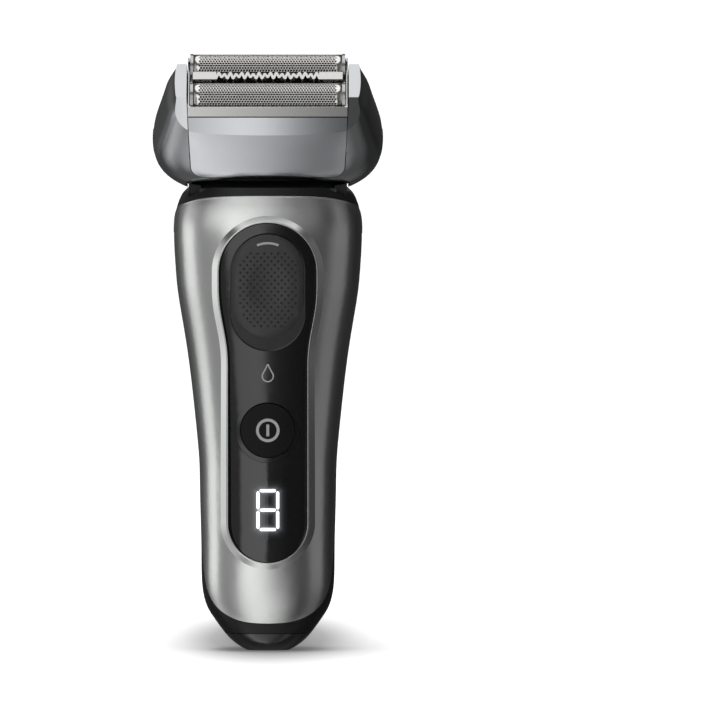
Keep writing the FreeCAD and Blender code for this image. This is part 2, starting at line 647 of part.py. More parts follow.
def build_power_button():
    """A round key level with the panel, with a ring and a bar let into its face."""
    height, radius = size("button_height"), size("button_radius")
    back = -size("button_back")
    key = rod(radius, V(0, -FAR, height), V(0, 1, 0), FAR + back).common(handle_solid(GLASS - 0.05))
    stem = rod(1.6, V(0, back - 0.5, height), V(0, 1, 0), 1.9)
    ring_outer, line = size("symbol_radius"), size("symbol_line")
    ring = rod(ring_outer, V(0, -FAR, height), V(0, 1, 0), FAR)
    ring = ring.cut(rod(ring_outer - line, V(0, -FAR, height), V(0, 1, 0), FAR))
    half_bar = size("symbol_bar") / 2
    bar = block(-line / 2, line / 2, -FAR, 0, height - half_bar, height + half_bar)
    back = surface_depth(height, -1) + GLASS + size("symbol_depth")
    symbol = Part.makeCompound([ring, bar]).common(block(-FAR, FAR, -FAR, back, 0, FAR * 3))
    symbol = symbol.common(handle_solid(GLASS - 0.09))
    key = checked_cut(join([key, stem]), symbol)
    add_shape("power_button_cap", key)
    add_shape("power_symbol", symbol)


def build_lock_pad():
    """The dished thumb pad of the head lock and the bolt behind it."""
    bottom, top = size("pad_bottom"), size("pad_top")
    solid = stadium(size("pad_half_width"), bottom, top, -FAR, PAD_FLOOR - 0.06)
    solid = solid.common(handle_solid(GLASS - size("pad_sink")))
    middle, dish_radius = (bottom + top) / 2, size("pad_dish_radius")
    crest = solid.BoundBox.YMin
    dish = Part.makeSphere(dish_radius, V(0, crest + size("pad_dish") - dish_radius, middle))
    add_shape("lock_pad", checked_cut(solid, dish))
    half, stem_half = size("bolt_half_width"), size("bolt_stem_half_width")
    stem = block(-stem_half, stem_half, PAD_FLOOR - 0.06, PAD_FLOOR + 1.35,
                 size("bolt_stem_bottom"), size("bolt_stem_top"))
    bar = block(-half, half, PAD_FLOOR + 1.3, PAD_FLOOR + 2.9, size("bolt_bottom"), size("bolt_top"))
    add_shape("lock_bolt", join([stem, bar]))


def build_handle_inside():
    """The chassis tray, cell, board and what stands on it."""
    back_half = block(-FAR, FAR, 1.0, FAR, size("tray_bottom"), size("tray_top")).common(LINING)
    tray = back_half.cut(handle_solid(WALL + GAP + size("tray_wall")))
    floor_rib, clamp_rib = [
        back_half.common(block(-FAR, FAR, 1.0, FAR, level, level + size("tray_rib")))
        for level in (size("low_rib"), size("high_rib"))]
    clamp_rib = clamp_rib.cut(rod(size("cell_radius") + 0.2, V(0, size("cell_back"), 20), V(0, 0, 1), 62))
    add_shape("inner_frame", join([tray, floor_rib, clamp_rib]))
    add_primitive("Part::Cylinder", "battery_cell", placed(V(0, size("cell_back"), size("cell_bottom"))),
                  Radius="Sizes.cell_radius", Height="Sizes.cell_length")
    low, high = size("cell_bottom"), size("cell_bottom") + size("cell_length")
    half, line, front = size("tab_half_width"), size("tab_line"), size("cell_back") - size("tab_reach")
    tabs = [block(-half, half, front, size("cell_back") + 2, level, level + line)
            for level in (low - line, high)]
    add_shape("battery_tabs", Part.makeCompound(tabs))
    add_primitive("Part::Box", "main_board",
                  placed(V(-size("board_width") / 2, -size("board_front"), size("board_bottom"))),
                  Length="Sizes.board_width", Width="Sizes.board_thickness",
                  Height="Sizes.board_length")
    face = -size("board_front")
    chips = [(-6.0, 2.0, 1.2, 74.0, 82.0), (-9.0, -5.0, 1.8, 50.0, 56.0), (4.5, 9.5, 2.4, 69.0, 77.0),
             (-9.5, -6.0, 1.4, 90.0, 94.0), (3.0, 9.0, 1.0, 88.0, 92.0)]
    add_shape("board_components", Part.makeCompound(
        [block(x0, x1, face - rise, face, z0, z1) for x0, x1, rise, z0, z1 in chips]))
    height, half = size("button_height"), size("switch_half_width")
    switch = block(-half, half, face - size("switch_rise"), face, height - half, height + half)
    switch = join([switch, rod(1.5, V(0, face - 2.3, height), V(0, 1, 0), 1.0)])
    add_shape("tact_switch", switch)
    digit, wide, tall = size("digit_height"), size("display_half_width"), size("display_half_height")
    add_shape("display_module", block(-wide, wide, face - size("display_rise"), face,
                                      digit - tall, digit + tall))


def comb_plate(y0, y1, half, bottom, root, tip):
    """A flat blade with a row of square teeth along its top edge."""
    pitch = size("comb_pitch")
    solids = [block(-half, half, y0, y1, bottom, root)]
    for index in range(int(2 * half / pitch) + 1):
        x = -half + index * pitch
        solids.append(block(x, min(x + pitch * 0.5, half), y0, y1, root - 0.5, tip))
    return join(solids)


def build_rear_trimmer():
    """The long hair trimmer on the back: a slide with a thumb rib, a comb and a cutter."""
    half, top = size("channel_half_width"), size("slide_top")
    outside = handle_solid(-0.15)
    deep = block(-half, half, size("channel_floor"), FAR, size("channel_bottom") + 0.4,
                 size("slide_break"))
    shallow = block(-half, half, size("channel_upper_floor"), FAR, 90.0, top)
    slide = join([deep, shallow]).common(outside)
    wide, grooves = size("thumb_groove_half_length"), []
    for index in range(4):
        height = size("thumb_groove_start") + size("thumb_groove_pitch") * index
        floor = surface_depth(height, 1) - size("rib_depth")
        grooves.append(block(-wide, wide, floor, FAR, height, height + 1.0))
    slide = checked_cut(slide, Part.makeCompound(grooves))
    reach, bottom = size("comb_half_width"), size("comb_bottom")
    comb, cutter, line = size("comb_front"), size("comb_cutter_front"), size("comb_thickness")
    blade_room = block(-reach - 0.1, reach + 0.1, cutter - 0.4, comb + line + 0.05, bottom - 0.05, top + 1)
    add_shape("trimmer_slide", checked_cut(slide, blade_room))
    root, tip = size("comb_root"), size("comb_tip")
    add_shape("trimmer_comb_blade", comb_plate(comb, comb + line, reach, bottom, root, tip))
    add_shape("trimmer_cutter_blade",
              comb_plate(cutter, cutter + line, reach - 1.1, bottom + 1.15, root - 0.2, tip - 0.4))


# ---------------------------------------------------------------- head, drawn upright about the pivot

def bay_outline(grow, top=40.0):
    """The U outline of the bay between the ears, as a prism through the head."""
    wide, low = size("bay_half_width") + grow, size("bay_low_half_width") + grow
    floor, corner = size("bay_floor") - grow, size("bay_corner") + grow
    level = floor + corner
    slope = (wide - low) / (size("ear_top") - level)
    edge = wide + slope * (top - size("ear_top"))
    bend = corner * (1 - math.sqrt(0.5))

    def point(x, z):
        return V(x, -FAR, z)

    edges = [
        Part.makeLine(point(-edge, top), point(-low, level)),
        Part.Arc(point(-low, level), point(-low + bend, floor + bend),
                 point(-low + corner, floor)).toShape(),
        Part.makeLine(point(-low + corner, floor), point(low - corner, floor)),
        Part.Arc(point(low - corner, floor), point(low - bend, floor + bend), point(low, level)).toShape(),
        Part.makeLine(point(low, level), point(edge, top)),
        Part.makeLine(point(edge, top), point(-edge, top)),
    ]
    return Part.Face(Part.Wire(edges)).extrude(V(0, 2 * FAR, 0))


def ear_limits():
    """The space that the ears may fill: a flat top and a slope at the front and back."""
    top, top_depth = size("ear_top"), size("ear_top_half_depth")
    level, depth = size("ear_front_height"), size("ear_front_half_depth")
    slope = (depth - top_depth) / (top - level)
    low = -20.0
    reach = depth + slope * (level - 8.0)
    return side_prism([(-reach, low), (reach, low), (reach, 8.0), (top_depth, top),
                       (-top_depth, top), (-reach, 8.0)])


def arm_slots():
    """Room for the collar's arms over the head's whole swing, on both sides."""
    half = size("arm_half_depth") + 0.4
    reach, tilt, swing = size("slot_reach"), size("head_tilt"), size("slot_swing")
    start = math.radians(tilt - swing)
    end = math.radians(tilt + swing)
    points = [(-half * math.cos(start), -half * math.sin(start))]
    points.append((points[0][0] + reach * math.sin(start), points[0][1] - reach * math.cos(start)))
    points.append((reach * 1.2 * math.sin((start + end) / 2), -reach * 1.2 * math.cos((start + end) / 2)))
    last = (half * math.cos(end), half * math.sin(end))
    points.append((last[0] + reach * math.sin(end), last[1] - reach * math.cos(end)))
    points.append(last)
    corners = [V(size("slot_inner"), -depth, height) for depth, height in points]
    width = size("slot_outer") - size("slot_inner")
    wedge = Part.Face(Part.makePolygon(corners + corners[:1])).extrude(V(width, 0, 0))
    slot = wedge.fuse(rod(half, V(size("slot_inner"), 0, 0), V(1, 0, 0), width))
    return both_sides(slot)


def release_outline(grow, x0, x1):
    """An upright oval along X on the side of an ear."""
    edge = Part.Ellipse(V(0, 0, 0), size("release_half_height") + grow,
                        size("release_half_depth") + grow).toShape()
    oval = Part.Face(Part.Wire([edge])).extrude(V(0, 0, x1 - x0))
    oval.Placement = FreeCAD.Placement(V(x0, 0, size("release_height")), ALONG_X)
    return oval


HEAD = head_solid("head", len(HEAD_ROWS), 0.0, size("head_power"))
HEAD_INSIDE = head_solid("head", len(HEAD_ROWS), size("head_wall"), size("head_power"))


def build_head_frame():
    """The yoke: a bowl round the pivot and two ears beside the cassette."""
    inner, depth, tower = size("bowl_half_width"), size("tower_half_depth"), size("tower_top")
    towers = both_sides(block(inner, 23.0, -depth, depth, -5.0, tower))
    solid = checked_cut(HEAD.common(ear_limits()), bay_outline(0.0).cut(towers))
    bowl = HEAD_INSIDE.common(block(-inner, inner, -FAR, FAR, size("bowl_floor"), 2.0))
    solid = checked_cut(solid, bowl)
    solid = checked_cut(solid, arm_slots())
    pocket_tool = release_outline(size("release_gap"), size("release_pocket"), FAR)
    solid = checked_cut(solid, both_sides(pocket_tool))
    ear_space = HEAD_INSIDE.common(block(22.9, FAR, -7.5, 7.5, 9.5, 22.2))
    ear_space = ear_space.fuse(block(21.0, 24.0, -6.5, 6.5, 10.5, 21.2))
    solid = checked_cut(solid, both_sides(ear_space))
    bore = rod(size("bush_radius"), V(inner - 0.5, 0, 0), V(1, 0, 0), size("bush_end") - inner + 0.5)
    solid = checked_cut(solid, both_sides(bore))
    add_shape("head_frame", solid, HEAD_PLACEMENT)
    pin_hole = rod(size("pivot_pin_radius") + 0.03, V(0, 0, 0), V(1, 0, 0), FAR)
    bushes = [rod(size("bush_radius"), V(x0, 0, 0), V(1, 0, 0), x1 - x0).cut(pin_hole)
              for x0, x1 in ((inner, size("slot_inner")), (size("slot_outer"), size("bush_end")))]
    add_shape("pivot_bushes", Part.makeCompound(bushes + [mirrored(bush) for bush in bushes]),
              HEAD_PLACEMENT)
    middle = V(4.0, 0, -4.2)
    coil = rod(2.2, middle, V(1, 0, 0), 8.0).cut(rod(1.5, middle, V(1, 0, 0), 8.0))
    add_shape("centering_springs", both_sides(coil), HEAD_PLACEMENT)
    plug = block(21.0, 24.0, -6.5, 6.5, 10.5, 21.2).cut(bay_outline(0.0))
    plug = plug.common(block(0, 23.4, -FAR, FAR, 0, FAR))
    add_shape("ear_liners", both_sides(plug), HEAD_PLACEMENT)


def build_head_deck():
    """The black deck that closes the bowl, and the housing of the drive on it."""
    deck = head_solid("head", len(HEAD_ROWS), size("head_wall") + 0.1, size("head_power"))
    deck = deck.common(block(-16.7, 16.7, -FAR, FAR, -1.2, 0.5))
    add_shape("head_deck", deck, HEAD_PLACEMENT)
    body = doc.addObject("PartDesign::Body", "drive_housing")
    body.Label = "drive_housing"
    outline = add_sketch(body, "HousingOutline")
    sketch_rectangle(outline, "2 * Sizes.housing_half_length", "2 * Sizes.housing_half_depth")
    pad(body, outline, "Sizes.housing_top - 0.5", "HousingPad")
    inside = add_sketch(body, "HousingInside")
    sketch_rectangle(inside, "2 * (Sizes.housing_half_length - Sizes.housing_wall)",
                     "2 * (Sizes.housing_half_depth - Sizes.housing_wall)")
    pocket(body, inside, "Sizes.housing_top - 0.5 - Sizes.housing_wall", "HousingPocket")
    opening = add_sketch(body, "BellowsHole")
    sketch_circle(opening, "Sizes.drive_pin_radius + 2.0")
    pocket(body, opening, "Sizes.housing_top", "BellowsPocket")
    body.Placement = placed(V(0, 0, 0.5), HEAD_PLACEMENT)
    radius = size("drive_pin_radius")
    top, wall = size("housing_top"), size("housing_wall")
    sleeve = rod(radius + 1.95, V(0, 0, top - wall), V(0, 0, 1), wall + 0.6)
    add_shape("drive_bellows", sleeve.cut(rod(radius + 1.35, V(0, 0, 5), V(0, 0, 1), 20)), HEAD_PLACEMENT)


def build_drive():
    """A linear motor: a fixed core and coil, and a swinging armature with its drive pin."""
    floor, reach, depth = size("motor_floor"), size("core_half_length"), size("core_half_depth")
    base, top, leg = size("core_base"), size("core_top"), size("core_leg")
    core = [block(-reach, reach, -depth, depth, floor, base)]
    core += [block(x - leg / 2, x + leg / 2, -depth, depth, base, top)
             for x in (-reach + leg / 2, 0.0, reach - leg / 2)]
    add_shape("motor_core", join(core), HEAD_PLACEMENT)
    wide, deep, gap = size("coil_half_length"), size("coil_half_depth"), 0.05
    coil = block(-wide, wide, -deep, deep, base + 0.1, top - 0.3)
    coil = coil.cut(block(-leg / 2 - gap, leg / 2 + gap, -depth - gap, depth + gap, 1, 6))
    add_shape("motor_coil", coil, HEAD_PLACEMENT)
    half, low, high = size("armature_half_length"), size("armature_bottom"), size("armature_top")
    deep, start = size("armature_half_depth"), size("leaf_start")
    leaf = block(start, start + size("leaf_line"), -deep, deep, floor, size("leaf_top"))
    add_shape("leaf_springs", both_sides(leaf), HEAD_PLACEMENT)
    add_shape("motor_armature", block(-half, half, -deep, deep, low, high), HEAD_PLACEMENT)
    middle, half, depth = size("magnet_offset"), size("magnet_half_length"), size("magnet_half_depth")
    magnet = block(middle - half, middle + half, -depth, depth, size("magnet_bottom"), low)
    add_shape("drive_magnets", both_sides(magnet), HEAD_PLACEMENT)
    pin = add_primitive("Part::Cylinder", "drive_pin", placed(V(0, 0, high), HEAD_PLACEMENT),
                        Radius="Sizes.drive_pin_radius")
    pin.setExpression("Height", "Sizes.bridge_top - 0.4 - Sizes.armature_top")
    slot = block(-4.2, 4.2, -1.6, 1.6, 8, 12)
    mass = block(-reach, reach, -deep, deep, size("mass_bottom"), size("mass_top"))
    add_shape("balance_mass", checked_cut(mass, slot), HEAD_PLACEMENT)


def build_release_buttons():
    """The oval keys on the ears that let the cassette go."""
    outside = head_solid("head", len(HEAD_ROWS), -0.12, size("head_power"))
    start = size("release_pocket") + size("release_travel") + 0.25
    key = release_outline(0.0, start, FAR).common(outside)
    hollow = release_outline(-size("release_wall"), start - 1, start + 1.2)
    key = checked_cut(key, hollow)
    for label, shape in (("release_button_right", key), ("release_button_left", mirrored(key))):
        add_shape(label, shape, HEAD_PLACEMENT)


def build_cassette():
    """The cassette's shell, open above and below, and the rail round the foils."""
    gap, wall = size("cassette_gap"), size("cassette_wall")
    top, depth, slope = size("cassette_top"), size("cassette_top_half_depth"), size("cassette_slope")

    def sloped_space(inset):
        reach = depth - inset
        return side_prism([(-reach - slope * (top + 5), -5), (reach + slope * (top + 5), -5),
                           (reach - slope * 5, top + 5), (-reach + slope * 5, top + 5)])

    power = size("cassette_power")
    outer = head_solid("cassette", len(CASSETTE_ROWS), 0.0, power).common(sloped_space(0.0))
    outer = outer.common(bay_outline(-gap)).common(block(-FAR, FAR, -FAR, FAR, 0, top))
    inner = head_solid("cassette", len(CASSETTE_ROWS), wall + 0.2, power).common(sloped_space(0.85))
    inner = inner.common(block(-20.5, 20.5, -FAR, FAR, -1, FAR))
    frame = checked_cut(outer, inner)
    depth_clear, height_clear = size("tower_half_depth") + 0.4, size("tower_top") + 0.4
    room = block(14.0, FAR, -depth_clear, depth_clear, -1, height_clear)
    add_shape("cassette_frame", checked_cut(frame, both_sides(room)), HEAD_PLACEMENT)
    half = size("foil_half_length") + size("end_cap") + 0.2
    edge = half + 0.5
    rail = block(-edge, edge, -depth, depth, top, 23.4)
    rail = checked_cut(rail, block(-half, half, -11.2, 11.2, top - 1, 30))
    rail = checked_cut(rail, block(-FAR, FAR, -10.2, 10.2, top + 1.4, 30))
    groove = block(-FAR, FAR, -FAR, FAR, top, top + 0.25).cut(
        block(-edge + 0.15, edge - 0.15, -depth + 0.35, depth - 0.35, top - 1, top + 1))
    add_shape("cassette_rail", checked_cut(rail, groove), HEAD_PLACEMENT)
    rows = (-size("foil_offset"), size("foil_offset"))
    stops = [block(-20.5, -18.2, row - 2.5, row + 2.5, 9.0, 16.2) for row in rows]
    add_shape("cassette_guides", Part.makeCompound(stops + [mirrored(stop) for stop in stops]),
              HEAD_PLACEMENT)
    springs = [rod(0.9, V(19.2, row, 16.2), V(0, 0, 1), 1.5) for row in rows]
    add_shape("foil_springs", Part.makeCompound(springs + [mirrored(spring) for spring in springs]),
              HEAD_PLACEMENT)


def arch(radius, skirt, half_length):
    """A half cylinder along X on two straight skirts, about the foil's centre line."""
    height = size("foil_height")
    offset = -size("foil_offset")
    top = rod(radius, V(-half_length, offset, height), V(1, 0, 0), 2 * half_length)
    top = top.common(block(-FAR, FAR, -FAR, FAR, height, FAR))
    return join([top, block(-half_length, half_length, offset - radius, offset + radius,
                            height - skirt, height)])


def build_foil_units():
    """Front and back: a thin arched foil on its frame, over a row of half-round blades."""
    radius, thickness = size("foil_radius"), size("foil_thickness")
    half, cap, skirt = size("foil_half_length"), size("end_cap"), size("foil_skirt")
    height, offset = size("foil_height"), -size("foil_offset")
    inner_radius = radius - thickness
    foil = arch(radius, skirt, half).cut(arch(inner_radius, skirt + 1, half + 1))
    plate = arch(radius + 0.15, 1.3, half + cap).cut(block(-half, half, -FAR, FAR, 0, FAR))
    rail_low = height - skirt - 0.4
    rails = [block(-half, half, offset + side * (inner_radius - 0.35) - 0.35,
                   offset + side * (inner_radius - 0.35) + 0.35, rail_low, rail_low + 1.6)
             for side in (-1, 1)]
    ends = [block(x0, x1, offset - inner_radius, offset + inner_radius, rail_low, height)
            for x0, x1 in ((-half, -half + 0.9), (half - 0.9, half))]
    frame = join([plate] + rails + ends)
    reach = size("cutter_radius")
    carrier_top = size("carrier_top")
    disc = rod(reach, V(0, offset, height), V(1, 0, 0), size("cutter_thickness"))
    disc = disc.common(block(-FAR, FAR, -FAR, FAR, carrier_top, FAR))
    disc = disc.cut(rod(reach - 1.5, V(-1, offset, height + 0.5), V(1, 0, 0), 3).common(
        block(-FAR, FAR, -FAR, FAR, carrier_top + 0.7, FAR)))
    blades = []
    count = int(size("cutter_half_count"))
    for index in range(-count, count + 1):
        blade = disc.copy()
        blade.translate(V(index * size("cutter_pitch") - size("cutter_thickness") / 2, 0, 0))
        blades.append(blade)
    blade_row = Part.makeCompound(blades)
    depth = size("carrier_half_depth")
    carrier = block(-17.6, 17.6, offset - depth, offset + depth, size("carrier_bottom"), carrier_top)
    for name, turn in (("front", lambda shape: shape), ("rear", flipped)):
        add_shape(name + "_foil", turn(foil), HEAD_PLACEMENT)
        add_shape(name + "_foil_frame", turn(frame), HEAD_PLACEMENT)
        add_shape(name + "_cutter_blades", turn(blade_row), HEAD_PLACEMENT)
        add_shape(name + "_cutter_carrier", turn(carrier), HEAD_PLACEMENT)


def serpentine(thickness, top):
    """The wavy guard of the middle trimmer: one folded bar whose long folds turn down at the edge."""
    step, half_line = size("guard_half_pitch"), size("guard_line") / 2
    reach = size("guard_teeth_half_length")
    count = int(round(2 * reach / step))
    full = size("guard_half_depth") - half_line
    centre = []
    for index in range(count + 1):
        depth = full * size("guard_short_fold") if index % 5 in (2, 3) else full
        side = 1 if index % 2 else -1
        centre.append((-reach + index * step, side * depth))
    bars = []
    for (x0, y0), (x1, y1) in zip(centre, centre[1:]):
        length = math.hypot(x1 - x0, y1 - y0)
        nx, ny = -(y1 - y0) / length * half_line, (x1 - x0) / length * half_line
        corners = [V(x0 + nx, y0 + ny, top - thickness), V(x1 + nx, y1 + ny, top - thickness),
                   V(x1 - nx, y1 - ny, top - thickness), V(x0 - nx, y0 - ny, top - thickness)]
        bars.append(Part.Face(Part.makePolygon(corners + corners[:1])).extrude(V(0, 0, thickness)))
    for x, y in centre:
        drop = size("guard_leg") if abs(y) > 0.99 * full else 0.0
        bars.append(rod(half_line, V(x, y, top - thickness - drop), V(0, 0, 1), thickness + drop))
    return bars[0].multiFuse(bars[1:]).removeSplitter()


def build_middle_trimmer():
    """The narrow trimmer between the foils: a guard, the blade under it and their holder."""
    top, thickness = size("guard_top"), size("guard_thickness")
    depth, half = size("guard_half_depth"), size("guard_half_length")
    reach = size("guard_teeth_half_length")
    plate = block(reach - 0.1, half, -depth, depth, top - thickness, top)
    line, low = size("guard_flange"), top - size("guard_flange_height")
    flanges = [block(reach + 1.0, half, y0, y1, low, top - thickness)
               for y0, y1 in ((-depth, -depth + line), (depth - line, depth))]
    end = join([plate] + flanges)
    add_shape("trimmer_guard", join([serpentine(thickness, top), end, mirrored(end)]), HEAD_PLACEMENT)
    edge, post, deep = size("holder_half_length"), size("holder_post_start"), size("holder_half_depth")
    floor, level, foot = size("holder_bottom"), size("holder_top"), size("holder_foot_half_depth")
    posts = block(-edge, edge, -deep, deep, level - 0.1, top - thickness).cut(
        block(-post, post, -FAR, FAR, 0, FAR))
    holder = join([block(-edge, edge, -deep, deep, floor, level), posts,
                   block(-edge, edge, -foot, foot, floor, size("holder_foot_top"))])
    add_shape("trimmer_holder", holder, HEAD_PLACEMENT)
    reach, depth = size("trimmer_blade_half_length"), size("trimmer_blade_half_depth")
    low, high = size("trimmer_blade_bottom"), size("trimmer_blade_top")
    tooth, pitch = size("trimmer_tooth_half_width"), 2 * size("guard_half_pitch")
    blade = [block(-reach, reach, -depth, depth, low, high)]
    blade += [block(index * pitch - tooth, index * pitch + tooth, -depth, depth, high - 0.05,
                    top - thickness - 0.03) for index in range(-9, 10)]
    add_shape("trimmer_blade", join(blade), HEAD_PLACEMENT)


def build_bridge():
    """The bar that carries the stroke from the drive pin to the cutters."""
    body = doc.addObject("PartDesign::Body", "drive_bridge")
    body.Label = "drive_bridge"
    outline = add_sketch(body, "BridgeOutline")
    sketch_rectangle(outline, "2 * Sizes.bridge_half_length", "2 * Sizes.bridge_half_depth")
    pad(body, outline, "Sizes.bridge_top - Sizes.bridge_bottom", "BridgePad")
    socket = add_sketch(body, "PinSocket")
    sketch_circle(socket, "Sizes.drive_pin_radius + 0.04")
    pocket(body, socket, "Sizes.bridge_top - Sizes.bridge_bottom - 0.3", "SocketPocket")
    body.Placement = placed(V(0, 0, size("bridge_bottom")), HEAD_PLACEMENT)


def build_head():
    build_head_frame()
    build_head_deck()
    build_drive()
    build_release_buttons()
    build_cassette()
    build_foil_units()
    build_middle_trimmer()
    build_bridge()


def build_handle():
    build_front_shell()
    build_rear_housing()
    build_rear_grip()
    build_base_cap()
    build_inlet()
    build_neck_collar()
    build_panel()
    build_power_button()
    build_lock_pad()
    build_handle_inside()
    build_rear_trimmer()


def sub_parts():
    """The objects that are pieces of the shaver, apart from the features inside bodies."""
    kinds = ("Part::Feature", "Part::Box", "Part::Cylinder", "Part::Compound", "PartDesign::Body")
    return [item for item in doc.Objects if item.TypeId in kinds and not item.InList]


def check_and_write():
    doc.recompute()
    for item in doc.Objects:
        if "Invalid" in item.State or "Error" in item.State:
            raise RuntimeError(item.Label + " could not be computed")
    parts = sub_parts()
    for item in parts:
        if item.Shape.isNull() or not item.Shape.isValid() or not item.Shape.Solids:
            raise RuntimeError(item.Label + " has no valid solid")
    os.makedirs("parts", exist_ok=True)
    for item in parts:
        item.Shape.exportStep(f"parts/{item.Label}.step")
    print(len(parts), "sub-parts written")


build_handle()
build_head()
check_and_write()
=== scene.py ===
import bpy
import bmesh
import json
import math
from mathutils import Matrix, Vector
from mathutils.bvhtree import BVHTree


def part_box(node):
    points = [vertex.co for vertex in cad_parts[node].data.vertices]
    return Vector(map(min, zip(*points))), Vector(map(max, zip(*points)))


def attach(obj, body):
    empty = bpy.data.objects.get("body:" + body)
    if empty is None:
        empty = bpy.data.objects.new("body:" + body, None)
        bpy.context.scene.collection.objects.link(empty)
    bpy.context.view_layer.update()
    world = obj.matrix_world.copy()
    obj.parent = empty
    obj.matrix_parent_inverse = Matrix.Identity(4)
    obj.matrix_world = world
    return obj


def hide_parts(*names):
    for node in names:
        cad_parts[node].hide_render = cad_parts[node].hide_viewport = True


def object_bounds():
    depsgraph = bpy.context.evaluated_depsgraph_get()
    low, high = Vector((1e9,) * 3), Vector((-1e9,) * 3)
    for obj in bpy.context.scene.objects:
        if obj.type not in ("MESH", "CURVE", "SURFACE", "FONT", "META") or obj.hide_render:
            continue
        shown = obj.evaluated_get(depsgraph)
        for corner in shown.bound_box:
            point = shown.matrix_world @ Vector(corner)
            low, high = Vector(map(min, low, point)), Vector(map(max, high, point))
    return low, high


# A cordless foil shaver.  Lengths are in metres; MM turns millimetres into them.
# x runs to the right, y to the back and z up.
MM = 0.001
# Vertices closer than this are one vertex that the CAD mesh holds twice.
SAME_PLACE = 0.001 * MM
# Lines of sight start this far in front of the shaver.
IN_FRONT = -0.1

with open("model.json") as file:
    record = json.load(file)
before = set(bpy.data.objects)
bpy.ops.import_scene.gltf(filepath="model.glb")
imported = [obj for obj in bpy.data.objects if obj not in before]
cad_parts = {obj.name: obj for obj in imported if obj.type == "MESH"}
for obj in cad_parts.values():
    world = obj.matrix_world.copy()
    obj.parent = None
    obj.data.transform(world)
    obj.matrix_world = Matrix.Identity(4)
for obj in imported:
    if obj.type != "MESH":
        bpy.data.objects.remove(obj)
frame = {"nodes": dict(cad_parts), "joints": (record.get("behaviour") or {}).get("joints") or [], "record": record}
NODES = frame["nodes"]
JOINTS = {joint["name"]: joint for joint in frame["joints"]}
CAD_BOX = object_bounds()

# The head's own frame: its pivot, and the way that the cassette lifts off.
PIVOT = Vector(JOINTS["head_swivel"]["pos_m"])
HEAD_UP = Vector(JOINTS["cassette_release"]["axis"]).normalized()
HEAD_TILT = math.atan2(-HEAD_UP.y, HEAD_UP.z)
HEAD = Matrix.Translation(PIVOT) @ Matrix.Rotation(HEAD_TILT, 4, "X")


def head_box(node):
    """The lowest and highest corner of a CAD node in the head's own frame."""
    inverse = HEAD.inverted()
    points = [inverse @ vertex.co for vertex in NODES[node].data.vertices]
    low = Vector([min(point[axis] for point in points) for axis in range(3)])
    high = Vector([max(point[axis] for point in points) for axis in range(3)])
    return low, high


# ---------------------------------------------------------------- materials

def new_material(name, color, metallic=0.0, roughness=0.5):
    """A Principled material; returns it with its nodes, links and shader."""
    material = bpy.data.materials.new(name)
    material.use_nodes = True
    tree = material.node_tree
    shader = tree.nodes["Principled BSDF"]
    shader.inputs["Base Color"].default_value = (*color, 1.0)
    shader.inputs["Metallic"].default_value = metallic
    shader.inputs["Roughness"].default_value = roughness
    return material, tree, shader


def noise(tree, scale, detail=2.0, stretch=(1.0, 1.0, 1.0)):
    """Noise in the object's own coordinates, as a factor from 0 to 1."""
    place = tree.nodes.new("ShaderNodeTexCoord")
    mapping = tree.nodes.new("ShaderNodeMapping")
    mapping.inputs["Scale"].default_value = stretch
    texture = tree.nodes.new("ShaderNodeTexNoise")
    texture.inputs["Scale"].default_value = scale
    texture.inputs["Detail"].default_value = detail
    tree.links.new(place.outputs["Object"], mapping.inputs["Vector"])
    tree.links.new(mapping.outputs["Vector"], texture.inputs["Vector"])
    return texture.outputs["Fac"]


def spread(tree, factor, low, high):
    """A noise factor, which mostly lies from 0.3 to 0.7, turned into a value from low to high."""
    node = tree.nodes.new("ShaderNodeMapRange")
    node.inputs["From Min"].default_value = 0.3
    node.inputs["From Max"].default_value = 0.7
    node.inputs["To Min"].default_value = low
    node.inputs["To Max"].default_value = high
    tree.links.new(factor, node.inputs["Value"])
    return node.outputs["Result"]


def blend(tree, factor, first, second):
    """A mix of two colours by a factor; each is a colour or another node's output."""
    node = tree.nodes.new("ShaderNodeMix")
    node.data_type = "RGBA"
    tree.links.new(factor, node.inputs["Factor"])
    for name, value in (("A", first), ("B", second)):
        if isinstance(value, tuple):
            node.inputs[name].default_value = (*value, 1.0)
        else:
            tree.links.new(value, node.inputs[name])
    return node.outputs["Result"]


def bump(tree, shader, height, strength, distance):
    """Fine relief: distance is its full height and strength the share of it that shows."""
    node = tree.nodes.new("ShaderNodeBump")
    node.inputs["Strength"].default_value = strength
    node.inputs["Distance"].default_value = distance
    tree.links.new(height, node.inputs["Height"])
    tree.links.new(node.outputs["Normal"], shader.inputs["Normal"])


def shade(color, factor):
    """A colour made darker or lighter."""
    return tuple(min(1.0, channel * factor) for channel in color)


def math_node(tree, operation, first, second=None):
    """The result of an operation on outputs of other nodes or on plain numbers."""
    node = tree.nodes.new("ShaderNodeMath")
    node.operation = operation
    for index, value in enumerate((first, second)):
        if value is None:
            continue
        if isinstance(value, (int, float)):
            node.inputs[index].default_value = value
        else:
            tree.links.new(value, node.inputs[index])
    return node.outputs["Value"]


